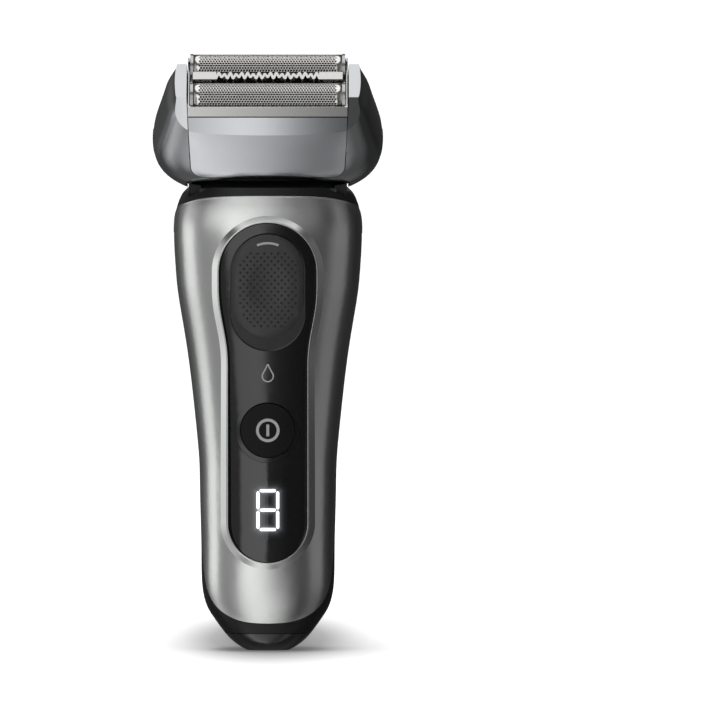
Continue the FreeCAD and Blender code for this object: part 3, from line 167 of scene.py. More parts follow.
def crown(tree, shader, turn):
    """Turns the normals outwards, as on a face that is very slightly crowned from side to side.

    turn is how far the normal leans for each metre from the middle.
    """
    place = tree.nodes.new("ShaderNodeTexCoord")
    split = tree.nodes.new("ShaderNodeSeparateXYZ")
    tree.links.new(place.outputs["Object"], split.inputs["Vector"])
    side = tree.nodes.new("ShaderNodeCombineXYZ")
    tree.links.new(math_node(tree, "MULTIPLY", split.outputs["X"], turn), side.inputs["X"])
    surface = tree.nodes.new("ShaderNodeNewGeometry")
    total = tree.nodes.new("ShaderNodeVectorMath")
    total.operation = "ADD"
    tree.links.new(surface.outputs["Normal"], total.inputs[0])
    tree.links.new(side.outputs["Vector"], total.inputs[1])
    whole = tree.nodes.new("ShaderNodeVectorMath")
    whole.operation = "NORMALIZE"
    tree.links.new(total.outputs["Vector"], whole.inputs[0])
    relief = shader.inputs["Normal"].links[0].from_node
    tree.links.new(whole.outputs["Vector"], relief.inputs["Normal"])
    tree.links.new(whole.outputs["Vector"], shader.inputs["Coat Normal"])


def painted(name, color, roughness, coat, turn=0.0):
    """Metallic paint: fine flakes vary the colour and gloss under a clear coat."""
    material, tree, shader = new_material(name, color, 1.0, roughness)
    grain = noise(tree, 5200.0, 3.0)
    tree.links.new(blend(tree, grain, shade(color, 0.9), shade(color, 1.1)), shader.inputs["Base Color"])
    cloud = noise(tree, 140.0, 4.0)
    tree.links.new(spread(tree, cloud, roughness - 0.006, roughness + 0.006), shader.inputs["Roughness"])
    shader.inputs["Coat Weight"].default_value = coat
    shader.inputs["Coat Roughness"].default_value = 0.06
    bump(tree, shader, grain, 0.012, 0.01 * MM)
    if turn:
        crown(tree, shader, turn)
    return material


def moulded(name, color, roughness, grain_scale=2600.0, grain=0.12, specular=0.5, coat=0.0):
    """Moulded plastic with a fine spark-eroded grain and slightly uneven gloss."""
    material, tree, shader = new_material(name, color, 0.0, roughness)
    cloud = noise(tree, 220.0, 4.0)
    tree.links.new(blend(tree, cloud, shade(color, 0.88), shade(color, 1.14)),
                   shader.inputs["Base Color"])
    tree.links.new(spread(tree, cloud, roughness - 0.02, roughness + 0.02), shader.inputs["Roughness"])
    shader.inputs["Specular IOR Level"].default_value = specular
    shader.inputs["Coat Weight"].default_value = coat
    shader.inputs["Coat Roughness"].default_value = 0.04
    bump(tree, shader, noise(tree, grain_scale, 2.0), grain, 0.03 * MM)
    return material


def ground_metal(name, color, roughness, stretch=(1.0, 1.0, 1.0), scale=900.0):
    """Bare metal with fine grinding lines along one way."""
    material, tree, shader = new_material(name, color, 1.0, roughness)
    lines = noise(tree, scale, 3.0, stretch)
    tree.links.new(blend(tree, lines, shade(color, 0.86), shade(color, 1.12)),
                   shader.inputs["Base Color"])
    tree.links.new(spread(tree, lines, roughness - 0.06, roughness + 0.06), shader.inputs["Roughness"])
    bump(tree, shader, lines, 0.06, 0.02 * MM)
    return material


def window_glass(name):
    """The dark gloss of the display's window."""
    return moulded(name, (0.003, 0.003, 0.0035), 0.05, 900.0, 0.004, coat=0.3)


def glowing(name, color, strength):
    """A lit bar whose light is slightly uneven."""
    material, tree, shader = new_material(name, color, 0.0, 0.3)
    uneven = noise(tree, 900.0, 1.0)
    tree.links.new(blend(tree, uneven, shade(color, 0.93), color), shader.inputs["Emission Color"])
    shader.inputs["Emission Strength"].default_value = strength
    return material


def rubber(name, color):
    """Soft rubber with a fine field of round pips."""
    material, tree, shader = new_material(name, color, 0.0, 0.72)
    place = tree.nodes.new("ShaderNodeTexCoord")
    cells = tree.nodes.new("ShaderNodeTexVoronoi")
    cells.inputs["Scale"].default_value = 1100.0
    cells.inputs["Randomness"].default_value = 0.1
    tree.links.new(place.outputs["Object"], cells.inputs["Vector"])
    cloud = noise(tree, 300.0, 3.0)
    tree.links.new(blend(tree, cloud, shade(color, 0.8), shade(color, 1.2)), shader.inputs["Base Color"])
    bump(tree, shader, cells.outputs["Distance"], 0.25, 0.05 * MM)
    return material


def slot_materials():
    """One material for each material slot of the record."""
    steel = (0.72, 0.72, 0.70)
    return {
        "handle_silver": painted("handle_silver", (0.60, 0.61, 0.60), 0.24, 0.15),
        "head_silver": painted("head_silver", (0.48, 0.49, 0.50), 0.15, 0.3, turn=5.0),
        "cassette_silver": painted("cassette_silver", (0.47, 0.48, 0.50), 0.17, 0.3, turn=5.0),
        "rail_grey": painted("rail_grey", (0.50, 0.50, 0.49), 0.2, 0.2, turn=4.0),
        "cap_grey": painted("cap_grey", (0.42, 0.42, 0.42), 0.26, 0.2),
        "housing_black": moulded("housing_black", (0.006, 0.006, 0.0065), 0.3, specular=0.3),
        "grip_rubber": rubber("grip_rubber", (0.012, 0.012, 0.0125)),
        "panel_gloss": moulded("panel_gloss", (0.003, 0.003, 0.0035), 0.10, 900.0, 0.01, coat=0.2),
        "display_glass": window_glass("display_glass"),
        "digit_glow": glowing("digit_glow", (0.95, 0.98, 1.0), 0.9),
        "mark_grey": moulded("mark_grey", (0.27, 0.27, 0.28), 0.4, specular=0.3),
        "button_black": moulded("button_black", (0.004, 0.004, 0.0045), 0.35, specular=0.12),
        "pad_charcoal": moulded("pad_charcoal", (0.016, 0.016, 0.016), 0.4, 3200.0, 0.3, specular=0.55),
        "bolt_plastic": moulded("bolt_plastic", (0.15, 0.15, 0.15), 0.5),
        "foot_gloss": moulded("foot_gloss", (0.004, 0.004, 0.0045), 0.13, 1200.0, 0.02, coat=0.5),
        "socket_black": moulded("socket_black", (0.01, 0.01, 0.01), 0.45),
        "seal_rubber": rubber("seal_rubber", (0.09, 0.09, 0.09)),
        "contact_brass": ground_metal("contact_brass", (0.83, 0.66, 0.36), 0.25),
        "collar_black": moulded("collar_black", (0.007, 0.0072, 0.0085), 0.32, specular=0.3),
        "pin_steel": ground_metal("pin_steel", steel, 0.28),
        "chassis_plastic": moulded("chassis_plastic", (0.1, 0.1, 0.11), 0.5),
        "cell_wrap": moulded("cell_wrap", (0.02, 0.18, 0.13), 0.35),
        "tab_nickel": ground_metal("tab_nickel", (0.7, 0.68, 0.62), 0.3),
        "board_green": moulded("board_green", (0.012, 0.09, 0.035), 0.35),
        "chip_black": moulded("chip_black", (0.02, 0.02, 0.02), 0.4),
        "head_black": moulded("head_black", (0.005, 0.005, 0.0055), 0.35, specular=0.25),
        "bush_plastic": moulded("bush_plastic", (0.7, 0.69, 0.65), 0.45),
        "spring_steel": ground_metal("spring_steel", steel, 0.25),
        "bellows_rubber": rubber("bellows_rubber", (0.02, 0.02, 0.02)),
        "core_steel": ground_metal("core_steel", (0.35, 0.35, 0.36), 0.4, (1.0, 30.0, 1.0)),
        "coil_copper": ground_metal("coil_copper", (0.72, 0.33, 0.16), 0.35, (1.0, 1.0, 20.0)),
        "magnet_grey": ground_metal("magnet_grey", (0.45, 0.45, 0.46), 0.35),
        "release_black": moulded("release_black", (0.006, 0.006, 0.0065), 0.25),
        "guide_plastic": moulded("guide_plastic", (0.02, 0.02, 0.02), 0.5),
        "bridge_plastic": moulded("bridge_plastic", (0.06, 0.06, 0.065), 0.5),
        "foil_steel": ground_metal("foil_steel", (0.70, 0.69, 0.67), 0.17, (1.0, 1.0, 1.0), 2500.0),
        "blade_steel": ground_metal("blade_steel", (0.05, 0.05, 0.05), 0.4, (12.0, 1.0, 1.0)),
        "carrier_plastic": moulded("carrier_plastic", (0.008, 0.008, 0.008), 0.5, specular=0.2),
        "guard_steel": ground_metal("guard_steel", (0.54, 0.53, 0.52), 0.22, (1.0, 6.0, 6.0), 700.0),
    }


MATERIALS = slot_materials()


def dress_cad_nodes():
    """Gives each CAD node the material of its slot."""
    slots = {part["node"]: part["material_slot"] for part in frame["record"]["subparts"]}
    for name, node in NODES.items():
        node.data.materials.clear()
        node.data.materials.append(MATERIALS[slots[name]])


# Widths of the rounded edges that the small moulded and painted nodes have, in millimetres.
EDGE_ROUNDING = {
    "lock_pad": 0.3, "cassette_rail": 0.2, "release_button_left": 0.3, "release_button_right": 0.3,
    "trimmer_slide": 0.25,
}


def soften_edges():
    """Rounds the sharp edges of those nodes, as moulding and paint do."""
    for name, width in EDGE_ROUNDING.items():
        node = NODES[name]
        weld = node.modifiers.new("weld", "WELD")
        weld.merge_threshold = 2 * SAME_PLACE
        bevel = node.modifiers.new("soft edge", "BEVEL")
        bevel.width = width * MM
        bevel.segments = 2
        bevel.limit_method = "ANGLE"
        bevel.angle_limit = math.radians(32.0)
        bevel.harden_normals = True


# ---------------------------------------------------------------- pieces

def new_piece(name, bm, body, material, smooth=True):
    """Links a new mesh as a piece that rides on a body, with the material that it is given."""
    mesh = bpy.data.meshes.new(name)
    bm.to_mesh(mesh)
    bm.free()
    piece = bpy.data.objects.new(name, mesh)
    bpy.context.scene.collection.objects.link(piece)
    mesh.materials.append(material)
    if smooth:
        mesh.polygons.foreach_set("use_smooth", [True] * len(mesh.polygons))
    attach(piece, body)
    return piece


def surface_of(node):
    """A tree for finding points on a CAD node's surface."""
    mesh = NODES[node].data
    return BVHTree.FromPolygons([vertex.co for vertex in mesh.vertices],
                                [polygon.vertices for polygon in mesh.polygons])


def sight_line(tree, x, z):
    """The point and normal where a line from the front meets a surface, or None twice."""
    return tree.ray_cast(Vector((x, IN_FRONT, z)), Vector((0, 1, 0)))[:2]


def front_hit(tree, x, z):
    """The same where there is a surface for certain, with the normal towards the front."""
    point, normal = sight_line(tree, x, z)
    return point, -normal if normal.y > 0 else normal


def perforated_foil(side):
    """A thin arched foil with a staggered field of round holes, on two plain skirts.

    The sheet is laid out flat: x runs along it, and s from the front skirt's foot over the top.
    """
    low, high = head_box(side + "_foil")
    half = high.x
    radius = (high.y - low.y) / 2
    centre = Vector((0, (low.y + high.y) / 2, high.z - radius))
    skirt, arc = centre.z - low.z, math.pi * radius
    total = 2 * skirt + arc
    # The holes' pitch along the foil, the rows' pitch over the top, and the holes' radius.
    pitch, row, hole = 0.75 * MM, 0.65 * MM, 0.265 * MM
    rows, plain_rows, field_half = 18, 5, 18.75 * MM
    columns = int(round(2 * field_half / pitch))
    start = skirt + (arc - rows * row) / 2
    end = start + rows * row

    def place(x, s):
        """From the flat sheet to the arch."""
        if s < skirt:
            return HEAD @ Vector((x, centre.y - radius, low.z + s))
        if s > skirt + arc:
            return HEAD @ Vector((x, centre.y + radius, centre.z - (s - skirt - arc)))
        angle = (s - skirt) / radius
        return HEAD @ Vector((x, centre.y - radius * math.cos(angle), centre.z + radius * math.sin(angle)))

    bm = bmesh.new()
    made = {}

    def vertex(x, s):
        """The vertex at a place on the sheet, made once and shared by its faces."""
        key = (round(x * 1e7), round(s * 1e7))
        if key not in made:
            made[key] = bm.verts.new(place(x, s))
        return made[key]

    def face(points):
        bm.faces.new([vertex(x, s) for x, s in points])

    def holed_cell(x, s):
        """One cell of the field: eight points on its outline and sixteen round its hole."""
        mid = s + row / 2
        outer = [(x + pitch / 2, mid), (x + pitch / 2, s + row), (x, s + row), (x - pitch / 2, s + row),
                 (x - pitch / 2, mid), (x - pitch / 2, s), (x, s), (x + pitch / 2, s)]
        ring = [(x + hole * math.cos(math.pi * k / 8), mid + hole * math.sin(math.pi * k / 8))
                for k in range(16)]
        for k in range(8):
            face([outer[k], outer[(k + 1) % 8], ring[(2 * k + 2) % 16], ring[2 * k + 1], ring[2 * k]])

    for index in range(rows):
        s, mid, top = start + index * row, start + (index + 0.5) * row, start + (index + 1) * row
        odd = index % 2
        first = -field_half + (pitch if odd else pitch / 2)
        for column in range(columns - odd):
            holed_cell(first + column * pitch, s)
        # The plain margin at each end of the row.
        for sign in (-1, 1):
            edge = sign * (field_half - (pitch / 2 if odd else 0.0))
            corners = [(sign * half, s), (sign * field_half, s), (edge, s), (edge, mid),
                       (edge, top), (sign * field_half, top), (sign * half, top)]
            if not odd:
                corners = [corners[0]] + corners[2:5] + [corners[6]]
            if sign > 0:
                corners.reverse()
            face(corners)
    # The plain skirts, before the first row and after the last.
    stops = [-half] + [-field_half + k * pitch / 2 for k in range(2 * columns + 1)] + [half]
    for first, last in ((0.0, start), (end, total)):
        levels = [first + k * (last - first) / plain_rows for k in range(plain_rows + 1)]
        for s0, s1 in zip(levels, levels[1:]):
            for x0, x1 in zip(stops, stops[1:]):
                face([(x0, s0), (x1, s0), (x1, s1), (x0, s1)])
    bmesh.ops.recalc_face_normals(bm, faces=bm.faces)
    piece = new_piece(side + "_foil_sheet", bm, side + "_foil_unit", MATERIALS["foil_steel"])
    solid = piece.modifiers.new("thickness", "SOLIDIFY")
    solid.thickness = 0.1 * MM
    solid.offset = -1.0
    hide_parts(side + "_foil")
    return piece


def pad_dots():
    """Small round pips in a staggered field on the thumb pad."""
    tree = surface_of("lock_pad")
    low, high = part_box("lock_pad")
    top, bottom, half = high.z - 5.0 * MM, low.z + 3.0 * MM, 7.6 * MM
    column, step = 0.935 * MM, 2.07 * MM
    radius, rise = 0.36 * MM, 0.2 * MM
    pad_radius = (high.x - low.x) / 2
    bend = pad_radius - 2.0 * MM
    bm = bmesh.new()
    count = int(half / column)
    for index in range(-count, count + 1):
        x = index * column
        z = bottom + (step / 2 if index % 2 else 0.0)
        while z <= top:
            from_end = min(z - low.z, high.z - z)
            inset = pad_radius - from_end
            inside = abs(x) < bend if inset <= 0 else math.hypot(x, inset) < bend
            if inside:
                point, normal = front_hit(tree, x, z)
                add_pip(bm, point, normal, radius, rise)
            z += step
    glossy = moulded("pad_pip", (0.004, 0.004, 0.004), 0.28, 900.0, 0.02, specular=0.6)
    return new_piece("pad_dots", bm, "lock_slider", glossy)


def add_pip(bm, point, normal, radius, rise):
    """A low dome on a surface, its rim sunk a little below it."""
    sides = 12
    side = normal.orthogonal().normalized()
    other = normal.cross(side)
    rings = []
    # Each ring's share of the radius and of the rise.
    for share, lift in ((1.0, -0.3), (0.86, 0.35), (0.5, 0.86)):
        ring = []
        for k in range(sides):
            angle = 2 * math.pi * k / sides
            offset = (side * math.cos(angle) + other * math.sin(angle)) * radius * share
            ring.append(bm.verts.new(point + offset + normal * rise * lift))
        rings.append(ring)
    peak = bm.verts.new(point + normal * rise)
    for lower, upper in zip(rings, rings[1:]):
        for k in range(sides):
            bm.faces.new([lower[k], lower[(k + 1) % sides], upper[(k + 1) % sides], upper[k]])
    for k in range(sides):
        bm.faces.new([rings[-1][k], rings[-1][(k + 1) % sides], peak])
    bm.faces.new(list(reversed(rings[0])))


def printed_band(name, node, body, centre_line, width, closed):
    """A printed line that lies on a node's front, with a little thickness."""
    rise = 0.03 * MM
    tree = surface_of(node)
    count = len(centre_line)
    bm = bmesh.new()
    rows = []
    for index, (x, z) in enumerate(centre_line):
        before = centre_line[index - 1] if index or closed else centre_line[0]
        after = centre_line[(index + 1) % count] if index < count - 1 or closed else centre_line[-1]
        along = Vector((after[0] - before[0], after[1] - before[1])).normalized()
        across = Vector((-along.y, along.x)) * width / 2
        edge = []
        for sign in (-1, 1):
            point, _ = front_hit(tree, x + sign * across.x, z + sign * across.y)
            edge.append(bm.verts.new(point + Vector((0, -rise, 0))))
            edge.append(bm.verts.new(point + Vector((0, rise, 0))))
        rows.append(edge)
    last = count if closed else count - 1
    for index in range(last):
        a, b = rows[index], rows[(index + 1) % count]
        for first, second in ((0, 2), (2, 3), (3, 1), (1, 0)):
            bm.faces.new([a[first], b[first], b[second], a[second]])
    if not closed:
        for edge, order in ((rows[0], (0, 2, 3, 1)), (rows[-1], (1, 3, 2, 0))):
            bm.faces.new([edge[k] for k in order])
    bmesh.ops.recalc_face_normals(bm, faces=bm.faces)
    return new_piece(name, bm, body, MATERIALS["mark_grey"], smooth=False)


def pad_mark():
    """The light arc near the top of the thumb pad."""
    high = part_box("lock_pad")[1]
    level, half, bend, steps = high.z - 2.4 * MM, 2.9 * MM, 7.0 * MM, 24
    line = []
    for k in range(steps + 1):
        x = -half + 2 * half * k / steps
        line.append((x, level - x * x / (2 * bend)))
    return printed_band("pad_mark", "lock_pad", "lock_slider", line, 0.6 * MM, False)


def drop_mark():
    """A plain water drop on the panel, between the thumb pad and the power key."""
    level = (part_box("power_button_cap")[1].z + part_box("lock_pad")[0].z) / 2 - 1.6 * MM
    radius, tip, pinch, steps = 1.5 * MM, 1.7 * MM, 0.55, 40
    line = []
    for k in range(steps):
        angle = 2 * math.pi * k / steps
        pull = max(0.0, math.sin(angle)) ** 5
        line.append((radius * math.cos(angle) * (1 - pinch * pull),
                     level + radius * math.sin(angle) + tip * pull))
    return printed_band("drop_mark", "control_panel", "handle", line, 0.34 * MM, True)


def round_bead(name, line, radius, closed):
    """A thin round bead of the handle's silver along a line of points."""
    count, sides = len(line), 8
    bm = bmesh.new()
    rings = []
    for index, middle in enumerate(line):
        before = line[index - 1] if index or closed else middle
        after = line[(index + 1) % count] if index < count - 1 or closed else middle
        along = (after - before).normalized()
        side = along.cross(Vector((0, 1, 0))).normalized()
        other = along.cross(side)
        ring = []
        for k in range(sides):
            angle = 2 * math.pi * k / sides
            ring.append(bm.verts.new(middle + (side * math.cos(angle) + other * math.sin(angle)) * radius))
        rings.append(ring)
    for index in range(count if closed else count - 1):
        ring, following = rings[index], rings[(index + 1) % count]
        for k in range(sides):
            bm.faces.new([ring[k], ring[(k + 1) % sides], following[(k + 1) % sides], following[k]])
    if not closed:
        bm.faces.new(rings[0])
        bm.faces.new(list(reversed(rings[-1])))
    bmesh.ops.recalc_face_normals(bm, faces=bm.faces)
    return new_piece(name, bm, "handle", MATERIALS["handle_silver"])


def seam_bead():
    """The bright rolled edge along the top of the silver front, as a thin round bead."""
    bm = bmesh.new()
    bm.from_mesh(NODES["front_shell"].data)
    bmesh.ops.remove_doubles(bm, verts=bm.verts, dist=SAME_PLACE)
    # The edge runs above this level, and well away from the raised rim round the panel.
    level = 113.0 * MM
    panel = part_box("control_panel")[1]
    rim_centre, rim_reach = Vector((0, panel.z - panel.x)), panel.x + 4.0 * MM
    found = {}
    for edge in bm.edges:
        ends = [vertex.co for vertex in edge.verts]
        if len(edge.link_faces) != 2 or min(end.z for end in ends) < level:
            continue
        if min((end.xz - rim_centre).length for end in ends) < rim_reach:
            continue
        first, second = (face.normal for face in edge.link_faces)
        upper, outer = (first, second) if first.z > second.z else (second, first)
        sharp = first.angle(second, 0.0) > math.radians(40.0)
        outside = outer.y < -0.35 or math.copysign(outer.x, outer.x * ends[0].x) > 0.5
        if sharp and outside and abs(upper.x) < 0.2:
            for vertex in edge.verts:
                found[vertex.index] = (vertex.co.copy(), upper.copy(), outer.copy())
    bm.free()
    # From right to left round a point below the level, with the bead sunk a little into the edge.
    below = level - 8.0 * MM
    corners = sorted(found.values(), key=lambda item: math.atan2(item[0].z - below, item[0].x))
    radius, sink = 0.32 * MM, 0.4
    line = [point - (upper + outer) * radius * sink for point, upper, outer in corners]
    return round_bead("seam_bead", line, radius, closed=False)


def rim_bead():
    """The thin bright line round the panel, on the inner edge of the rim."""
    tree = surface_of("front_shell")
    panel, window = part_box("control_panel")[1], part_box("display_window")[0]
    # The panel ends in half circles: about its own half width at the top, the window's below.
    top_centre, low_centre = panel.z - panel.x, window.z - window.x
    radius, halvings, turns, levels = 0.12 * MM, 24, 32, 40

    def edge_point(centre, angle):
        """A point on the opening's edge, in a direction from a point of the centre line."""
        inside, outside = 8.0 * MM, 15.0 * MM
        for _ in range(halvings):
            middle = (inside + outside) / 2
            hit = sight_line(tree, middle * math.cos(angle), centre + middle * math.sin(angle))[0]
            if hit is not None and hit.y < 0:
                outside = middle
            else:
                inside = middle
        # The depth is read a little further out, on the rim's slope and clear of the wall.
        slope = outside + 0.05 * MM
        depth = front_hit(tree, slope * math.cos(angle), centre + slope * math.sin(angle))[0].y
        return Vector((outside * math.cos(angle), depth + 0.4 * radius, centre + outside * math.sin(angle)))

    heights = [low_centre + (top_centre - low_centre) * k / levels for k in range(levels + 1)]
    line = [edge_point(height, 0.0) for height in heights]
    line += [edge_point(top_centre, math.pi * k / turns) for k in range(1, turns)]
    line += [edge_point(height, math.pi) for height in reversed(heights)]
    line += [edge_point(low_centre, math.pi + math.pi * k / turns) for k in range(1, turns)]
    return round_bead("rim_bead", line, radius, closed=True)


def loose_islands(mesh):
    """The vertex positions of each separate shell of a mesh."""
    bm = bmesh.new()
    bm.from_mesh(mesh)
    bmesh.ops.remove_doubles(bm, verts=bm.verts, dist=SAME_PLACE)
    left, islands = set(bm.verts), []
    while left:
        queue, island = [left.pop()], []
        while queue:
            vertex = queue.pop()
            island.append(vertex.co.copy())
            for edge in vertex.link_edges:
                other = edge.other_vert(vertex)
                if other in left:
                    left.remove(other)
                    queue.append(other)
        islands.append(island)
    bm.free()
    return islands


def spill_material():
    """The window's gloss with a painted glow: it emits the share of the digit's light at each point."""
    material = window_glass("display_spill")
    tree = material.node_tree
    shader = tree.nodes["Principled BSDF"]
    shader.inputs["Emission Color"].default_value = (0.85, 0.9, 1.0, 1.0)
    share = tree.nodes.new("ShaderNodeAttribute")
    share.attribute_name = "spill"
    tree.links.new(math_node(tree, "MULTIPLY", share.outputs["Fac"], 0.16),
                   shader.inputs["Emission Strength"])
    return material


def display_spill():
    """A thin skin on the window round the digit, carrying a painted glow, the soft spill of its light."""
    # Each lit bar's sides, lower end and upper end.
    bars = [(min(p.x for p in island), max(p.x for p in island),
             min(p.z for p in island), max(p.z for p in island))
            for island in loose_islands(NODES["display_segments"].data)]
    glass, lit = surface_of("display_window"), surface_of("display_segments")
    low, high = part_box("display_segments")
    margin, step, lift = 2.4 * MM, 0.15 * MM, 0.02 * MM
    # How far the painted glow reaches, and the width over which it ends at the skin's border.
    reach, border = 0.5 * MM, 0.5 * MM
    wide = int(math.ceil((high.x - low.x + 2 * margin) / step))
    tall = int(math.ceil((high.z - low.z + 2 * margin) / step))
    bm = bmesh.new()
    grid, shares = [], []
    for j in range(tall + 1):
        line = []
        for i in range(wide + 1):
            x, z = low.x - margin + i * step, low.z - margin + j * step
            # The skin lies just over the glass, and under the bars.
            bar_hit = sight_line(lit, x, z)[0]
            depth = front_hit(glass, x, z)[0].y - lift if bar_hit is None else bar_hit.y + lift
            line.append(bm.verts.new((x, depth, z)))
            away = min(math.hypot(max(x0 - x, 0, x - x1), max(z0 - z, 0, z - z1))
                       for x0, x1, z0, z1 in bars)
            edge = min(x - low.x, high.x - x, z - low.z, high.z - z) + margin
            shares.append(math.exp(-away / reach) * min(1.0, edge / border))
        grid.append(line)
    for lower, upper in zip(grid, grid[1:]):
        for k in range(wide):
            bm.faces.new([lower[k], lower[k + 1], upper[k + 1], upper[k]])
    bm.verts.index_update()
    piece = new_piece("display_spill", bm, "handle", spill_material())
    values = piece.data.attributes.new("spill", "FLOAT", "POINT")
    values.data.foreach_set("value", shares)
    return piece


# ---------------------------------------------------------------- stage, light and camera

def build_floor():
    """A wide pale floor under the foot, which glows a little so that it stays evenly white, with a painted shadow
    under the shaver and behind it.
    """
    bm = bmesh.new()
    bmesh.ops.create_circle(bm, cap_ends=True, segments=96, radius=30.0)
    mesh = bpy.data.meshes.new("floor")
    bm.to_mesh(mesh)
    bm.free()
    floor = bpy.data.objects.new("floor", mesh)
    bpy.context.scene.collection.objects.link(floor)
    clearance = 0.02 * MM
    floor.location.z = CAD_BOX[0].z - clearance
    material, tree, shader = new_material("floor_white", (0.93, 0.93, 0.93), 0.0, 0.9)
    shader.inputs["Specular IOR Level"].default_value = 0.0
    shader.inputs["Emission Strength"].default_value = 0.42
    # A long soft painted shadow under the shaver and behind it, as half width, half length and centre.
    wide, deep, centre = 0.048, 0.192, 0.047
    place = tree.nodes.new("ShaderNodeTexCoord")
    mapping = tree.nodes.new("ShaderNodeMapping")
    mapping.inputs["Scale"].default_value = (1 / wide, 1 / deep, 0.0)
    mapping.inputs["Location"].default_value = (0.0, -centre / deep, 0.0)
    tree.links.new(place.outputs["Object"], mapping.inputs["Vector"])
    length = tree.nodes.new("ShaderNodeVectorMath")
    length.operation = "LENGTH"
    tree.links.new(mapping.outputs["Vector"], length.inputs[0])
    painted_shadow = ramp(tree, length.outputs["Value"], [
        (0.0, 0.12), (0.32, 0.32), (0.42, 0.47), (0.5, 0.59), (0.58, 0.68), (0.67, 0.745), (0.75, 0.80),
        (0.83, 0.86), (1.0, 1.0)])
    # The painted shadow darkens both the floor's glow and its colour.
    tree.links.new(painted_shadow, shader.inputs["Emission Color"])
    tree.links.new(painted_shadow, shader.inputs["Base Color"])
    mesh.materials.append(material)
    floor.visible_glossy = False


def ramp(tree, factor, stops):
    """A grey ramp: each stop is a position from 0 to 1 and a brightness."""
    node = tree.nodes.new("ShaderNodeValToRGB")
    elements = node.color_ramp.elements
    while len(elements) > 1:
        elements.remove(elements[-1])
    for number, (position, value) in enumerate(stops):
        element = elements[0] if number == 0 else elements.new(position)
        element.position = position
        element.color = (value, value, value, 1.0)
    tree.links.new(factor, node.inputs["Fac"])
    return node.outputs["Color"]


# Studio brightness by compass angle: 0 is straight in front, minus is to the left.
# The lists hold at eye level, below it, above it, and on the floor near the shaver.
STUDIO_LEVEL = [
    (-180, 0.05), (-140, 0.10), (-112, 0.25), (-98, 1.05), (-84, 1.35), (-68, 1.3), (-60, 0.5),
    (-46, 0.36), (-19, 0.36), (-15, 1.5), (-1.4, 1.6), (-0.6, 0.20), (8, 0.09), (34, 0.09),
    (48, 0.27), (76, 0.27), (90, 0.06), (120, 0.025), (160, 0.03), (180, 0.05)]
STUDIO_BELOW = [
    (-180, 0.05), (-112, 0.10), (-98, 0.35), (-84, 0.75), (-70, 0.6), (-59, 0.4), (-40, 0.31),
    (-26, 0.48), (-16, 0.87), (-8.5, 1.3), (-4, 1.55), (0, 1.25), (2.5, 0.85), (6, 0.42),
    (12, 0.19), (20, 0.08), (32, 0.065), (49, 0.15), (74, 0.15), (90, 0.04), (180, 0.05)]
STUDIO_ABOVE = [
    (-180, 0.05), (-112, 0.3), (-90, 0.8), (-66, 0.56), (-49, 0.35), (-38, 0.83), (-28, 1.1),
    (-14, 1.5), (-2.5, 1.6), (0, 1.0), (2.4, 0.29), (5, 0.12), (12, 0.27), (17, 0.27),
    (24, 0.2), (32, 0.08), (43, 0.065), (58, 0.28), (80, 0.14), (100, 0.03), (180, 0.05)]
STUDIO_FLOOR = [
    (-180, 0.2), (-120, 0.15), (-78, 0.15), (-55, 0.7), (-40, 1.5), (-26, 1.2), (0, 0.72),
    (20, 0.25), (32, 0.3), (42, 0.5), (52, 0.4), (70, 0.1), (180, 0.2)]
# The ceiling's brightness by its height above the horizon, which is 0; straight up is 90.
STUDIO_CEILING = [(20, 0.3), (32, 0.10), (47, 0.12), (54, 1.35), (90, 1.3)]
STUDIO_PEAK = 1.6


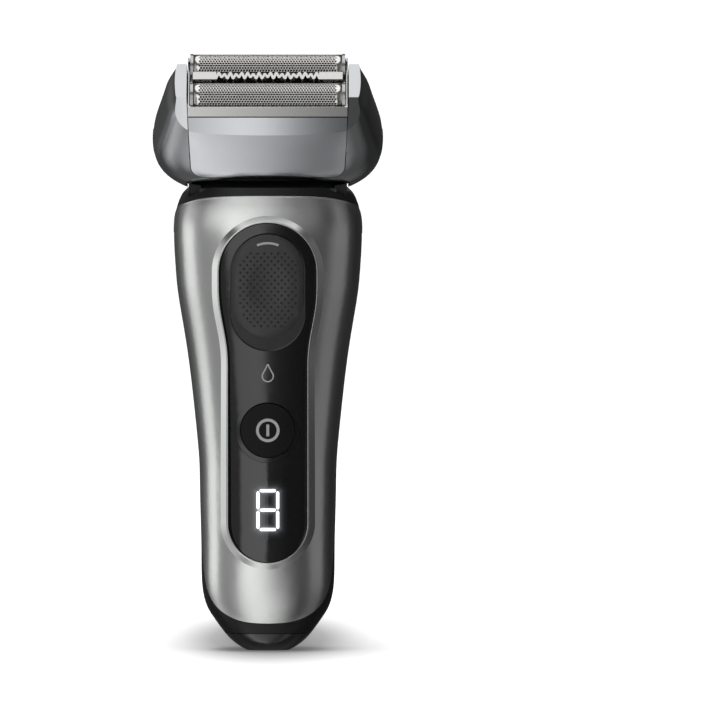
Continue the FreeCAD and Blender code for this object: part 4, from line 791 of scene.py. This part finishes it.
def build_world():
    """A studio of soft panels, whose light depends on its direction alone."""
    world = bpy.data.worlds.new("studio")
    bpy.context.scene.world = world
    world.use_nodes = True
    tree = world.node_tree
    place = tree.nodes.new("ShaderNodeTexCoord")
    split = tree.nodes.new("ShaderNodeSeparateXYZ")
    tree.links.new(place.outputs["Generated"], split.inputs["Vector"])
    # The compass angle and the height above the horizon, each from 0 to 1.
    forwards = math_node(tree, "MULTIPLY", split.outputs["Y"], -1.0)
    turn = math_node(tree, "ARCTAN2", split.outputs["X"], forwards)
    turn = math_node(tree, "ADD", math_node(tree, "MULTIPLY", turn, 0.5 / math.pi), 0.5)
    rise = math_node(tree, "ARCSINE", split.outputs["Z"])
    rise = math_node(tree, "ADD", math_node(tree, "MULTIPLY", rise, 1.0 / math.pi), 0.5)
    level, below, above, floor = [
        ramp(tree, turn, [((angle + 180) / 360, value / STUDIO_PEAK) for angle, value in stops])
        for stops in (STUDIO_LEVEL, STUDIO_BELOW, STUDIO_ABOVE, STUDIO_FLOOR)]
    ceiling = ramp(tree, rise, [((angle + 90) / 180, value / STUDIO_PEAK)
                                for angle, value in STUDIO_CEILING])
    # The share of each band by height, from straight down at 0 to straight up at 1.
    down = ramp(tree, rise, [(0.0, 1.0), (0.39, 1.0), (0.475, 0.0), (1.0, 0.0)])
    up = ramp(tree, rise, [(0.0, 0.0), (0.525, 0.0), (0.575, 1.0), (1.0, 1.0)])
    nether = ramp(tree, rise, [(0.0, 1.0), (0.16, 1.0), (0.26, 0.0), (1.0, 0.0)])
    zenith = ramp(tree, rise, [(0.0, 0.0), (0.62, 0.0), (0.68, 1.0), (1.0, 1.0)])
    light = blend(tree, down, level, below)
    light = blend(tree, up, light, above)
    light = blend(tree, nether, light, floor)
    light = blend(tree, zenith, light, ceiling)
    # Seen directly, the studio's far wall is as pale as its floor.
    seen = tree.nodes.new("ShaderNodeLightPath").outputs["Is Camera Ray"]
    light = blend(tree, seen, light, (1.0 / STUDIO_PEAK,) * 3)
    background = tree.nodes["Background"]
    background.inputs["Strength"].default_value = STUDIO_PEAK
    tree.links.new(light, background.inputs["Color"])


def add_area_light(name, place, target, width, height, power):
    """A rectangular soft light at a place, turned towards a target."""
    data = bpy.data.lights.new(name, "AREA")
    data.shape = "RECTANGLE"
    data.size, data.size_y = width, height
    data.energy = power
    light = bpy.data.objects.new(name, data)
    light.location = place
    light.rotation_mode = "QUATERNION"
    light.rotation_quaternion = (Vector(target) - Vector(place)).to_track_quat("-Z", "Y")
    bpy.context.scene.collection.objects.link(light)
    return light


def build_camera():
    """A long lens, a little above the shaver, with the shaver left of the middle."""
    distance, elevation = 5.0, math.radians(3.0)
    middle = Vector((0.02285, 0.0, 0.0810))
    frame_width = 0.1915
    data = bpy.data.cameras.new("camera")
    data.sensor_width = 36.0
    data.lens = data.sensor_width * distance / frame_width
    data.clip_start, data.clip_end = 0.05, 60.0
    camera = bpy.data.objects.new("camera", data)
    back = Vector((0, -math.cos(elevation), math.sin(elevation)))
    camera.location = middle + back * distance
    camera.rotation_mode = "QUATERNION"
    camera.rotation_quaternion = (-back).to_track_quat("-Z", "Y")
    bpy.context.scene.collection.objects.link(camera)
    bpy.context.scene.camera = camera


dress_cad_nodes()
for foil_side in ("front", "rear"):
    perforated_foil(foil_side)
pad_dots()
pad_mark()
drop_mark()
display_spill()
seam_bead()
rim_bead()
soften_edges()
build_floor()
build_world()
overhead = add_area_light("overhead_light", place=(-0.12, -0.05, 0.9), target=(0.0, 0.0, 0.0),
                          width=0.6, height=0.5, power=5.0)
overhead.visible_glossy = False
build_camera()
bpy.context.scene.view_settings.view_transform = "Standard"
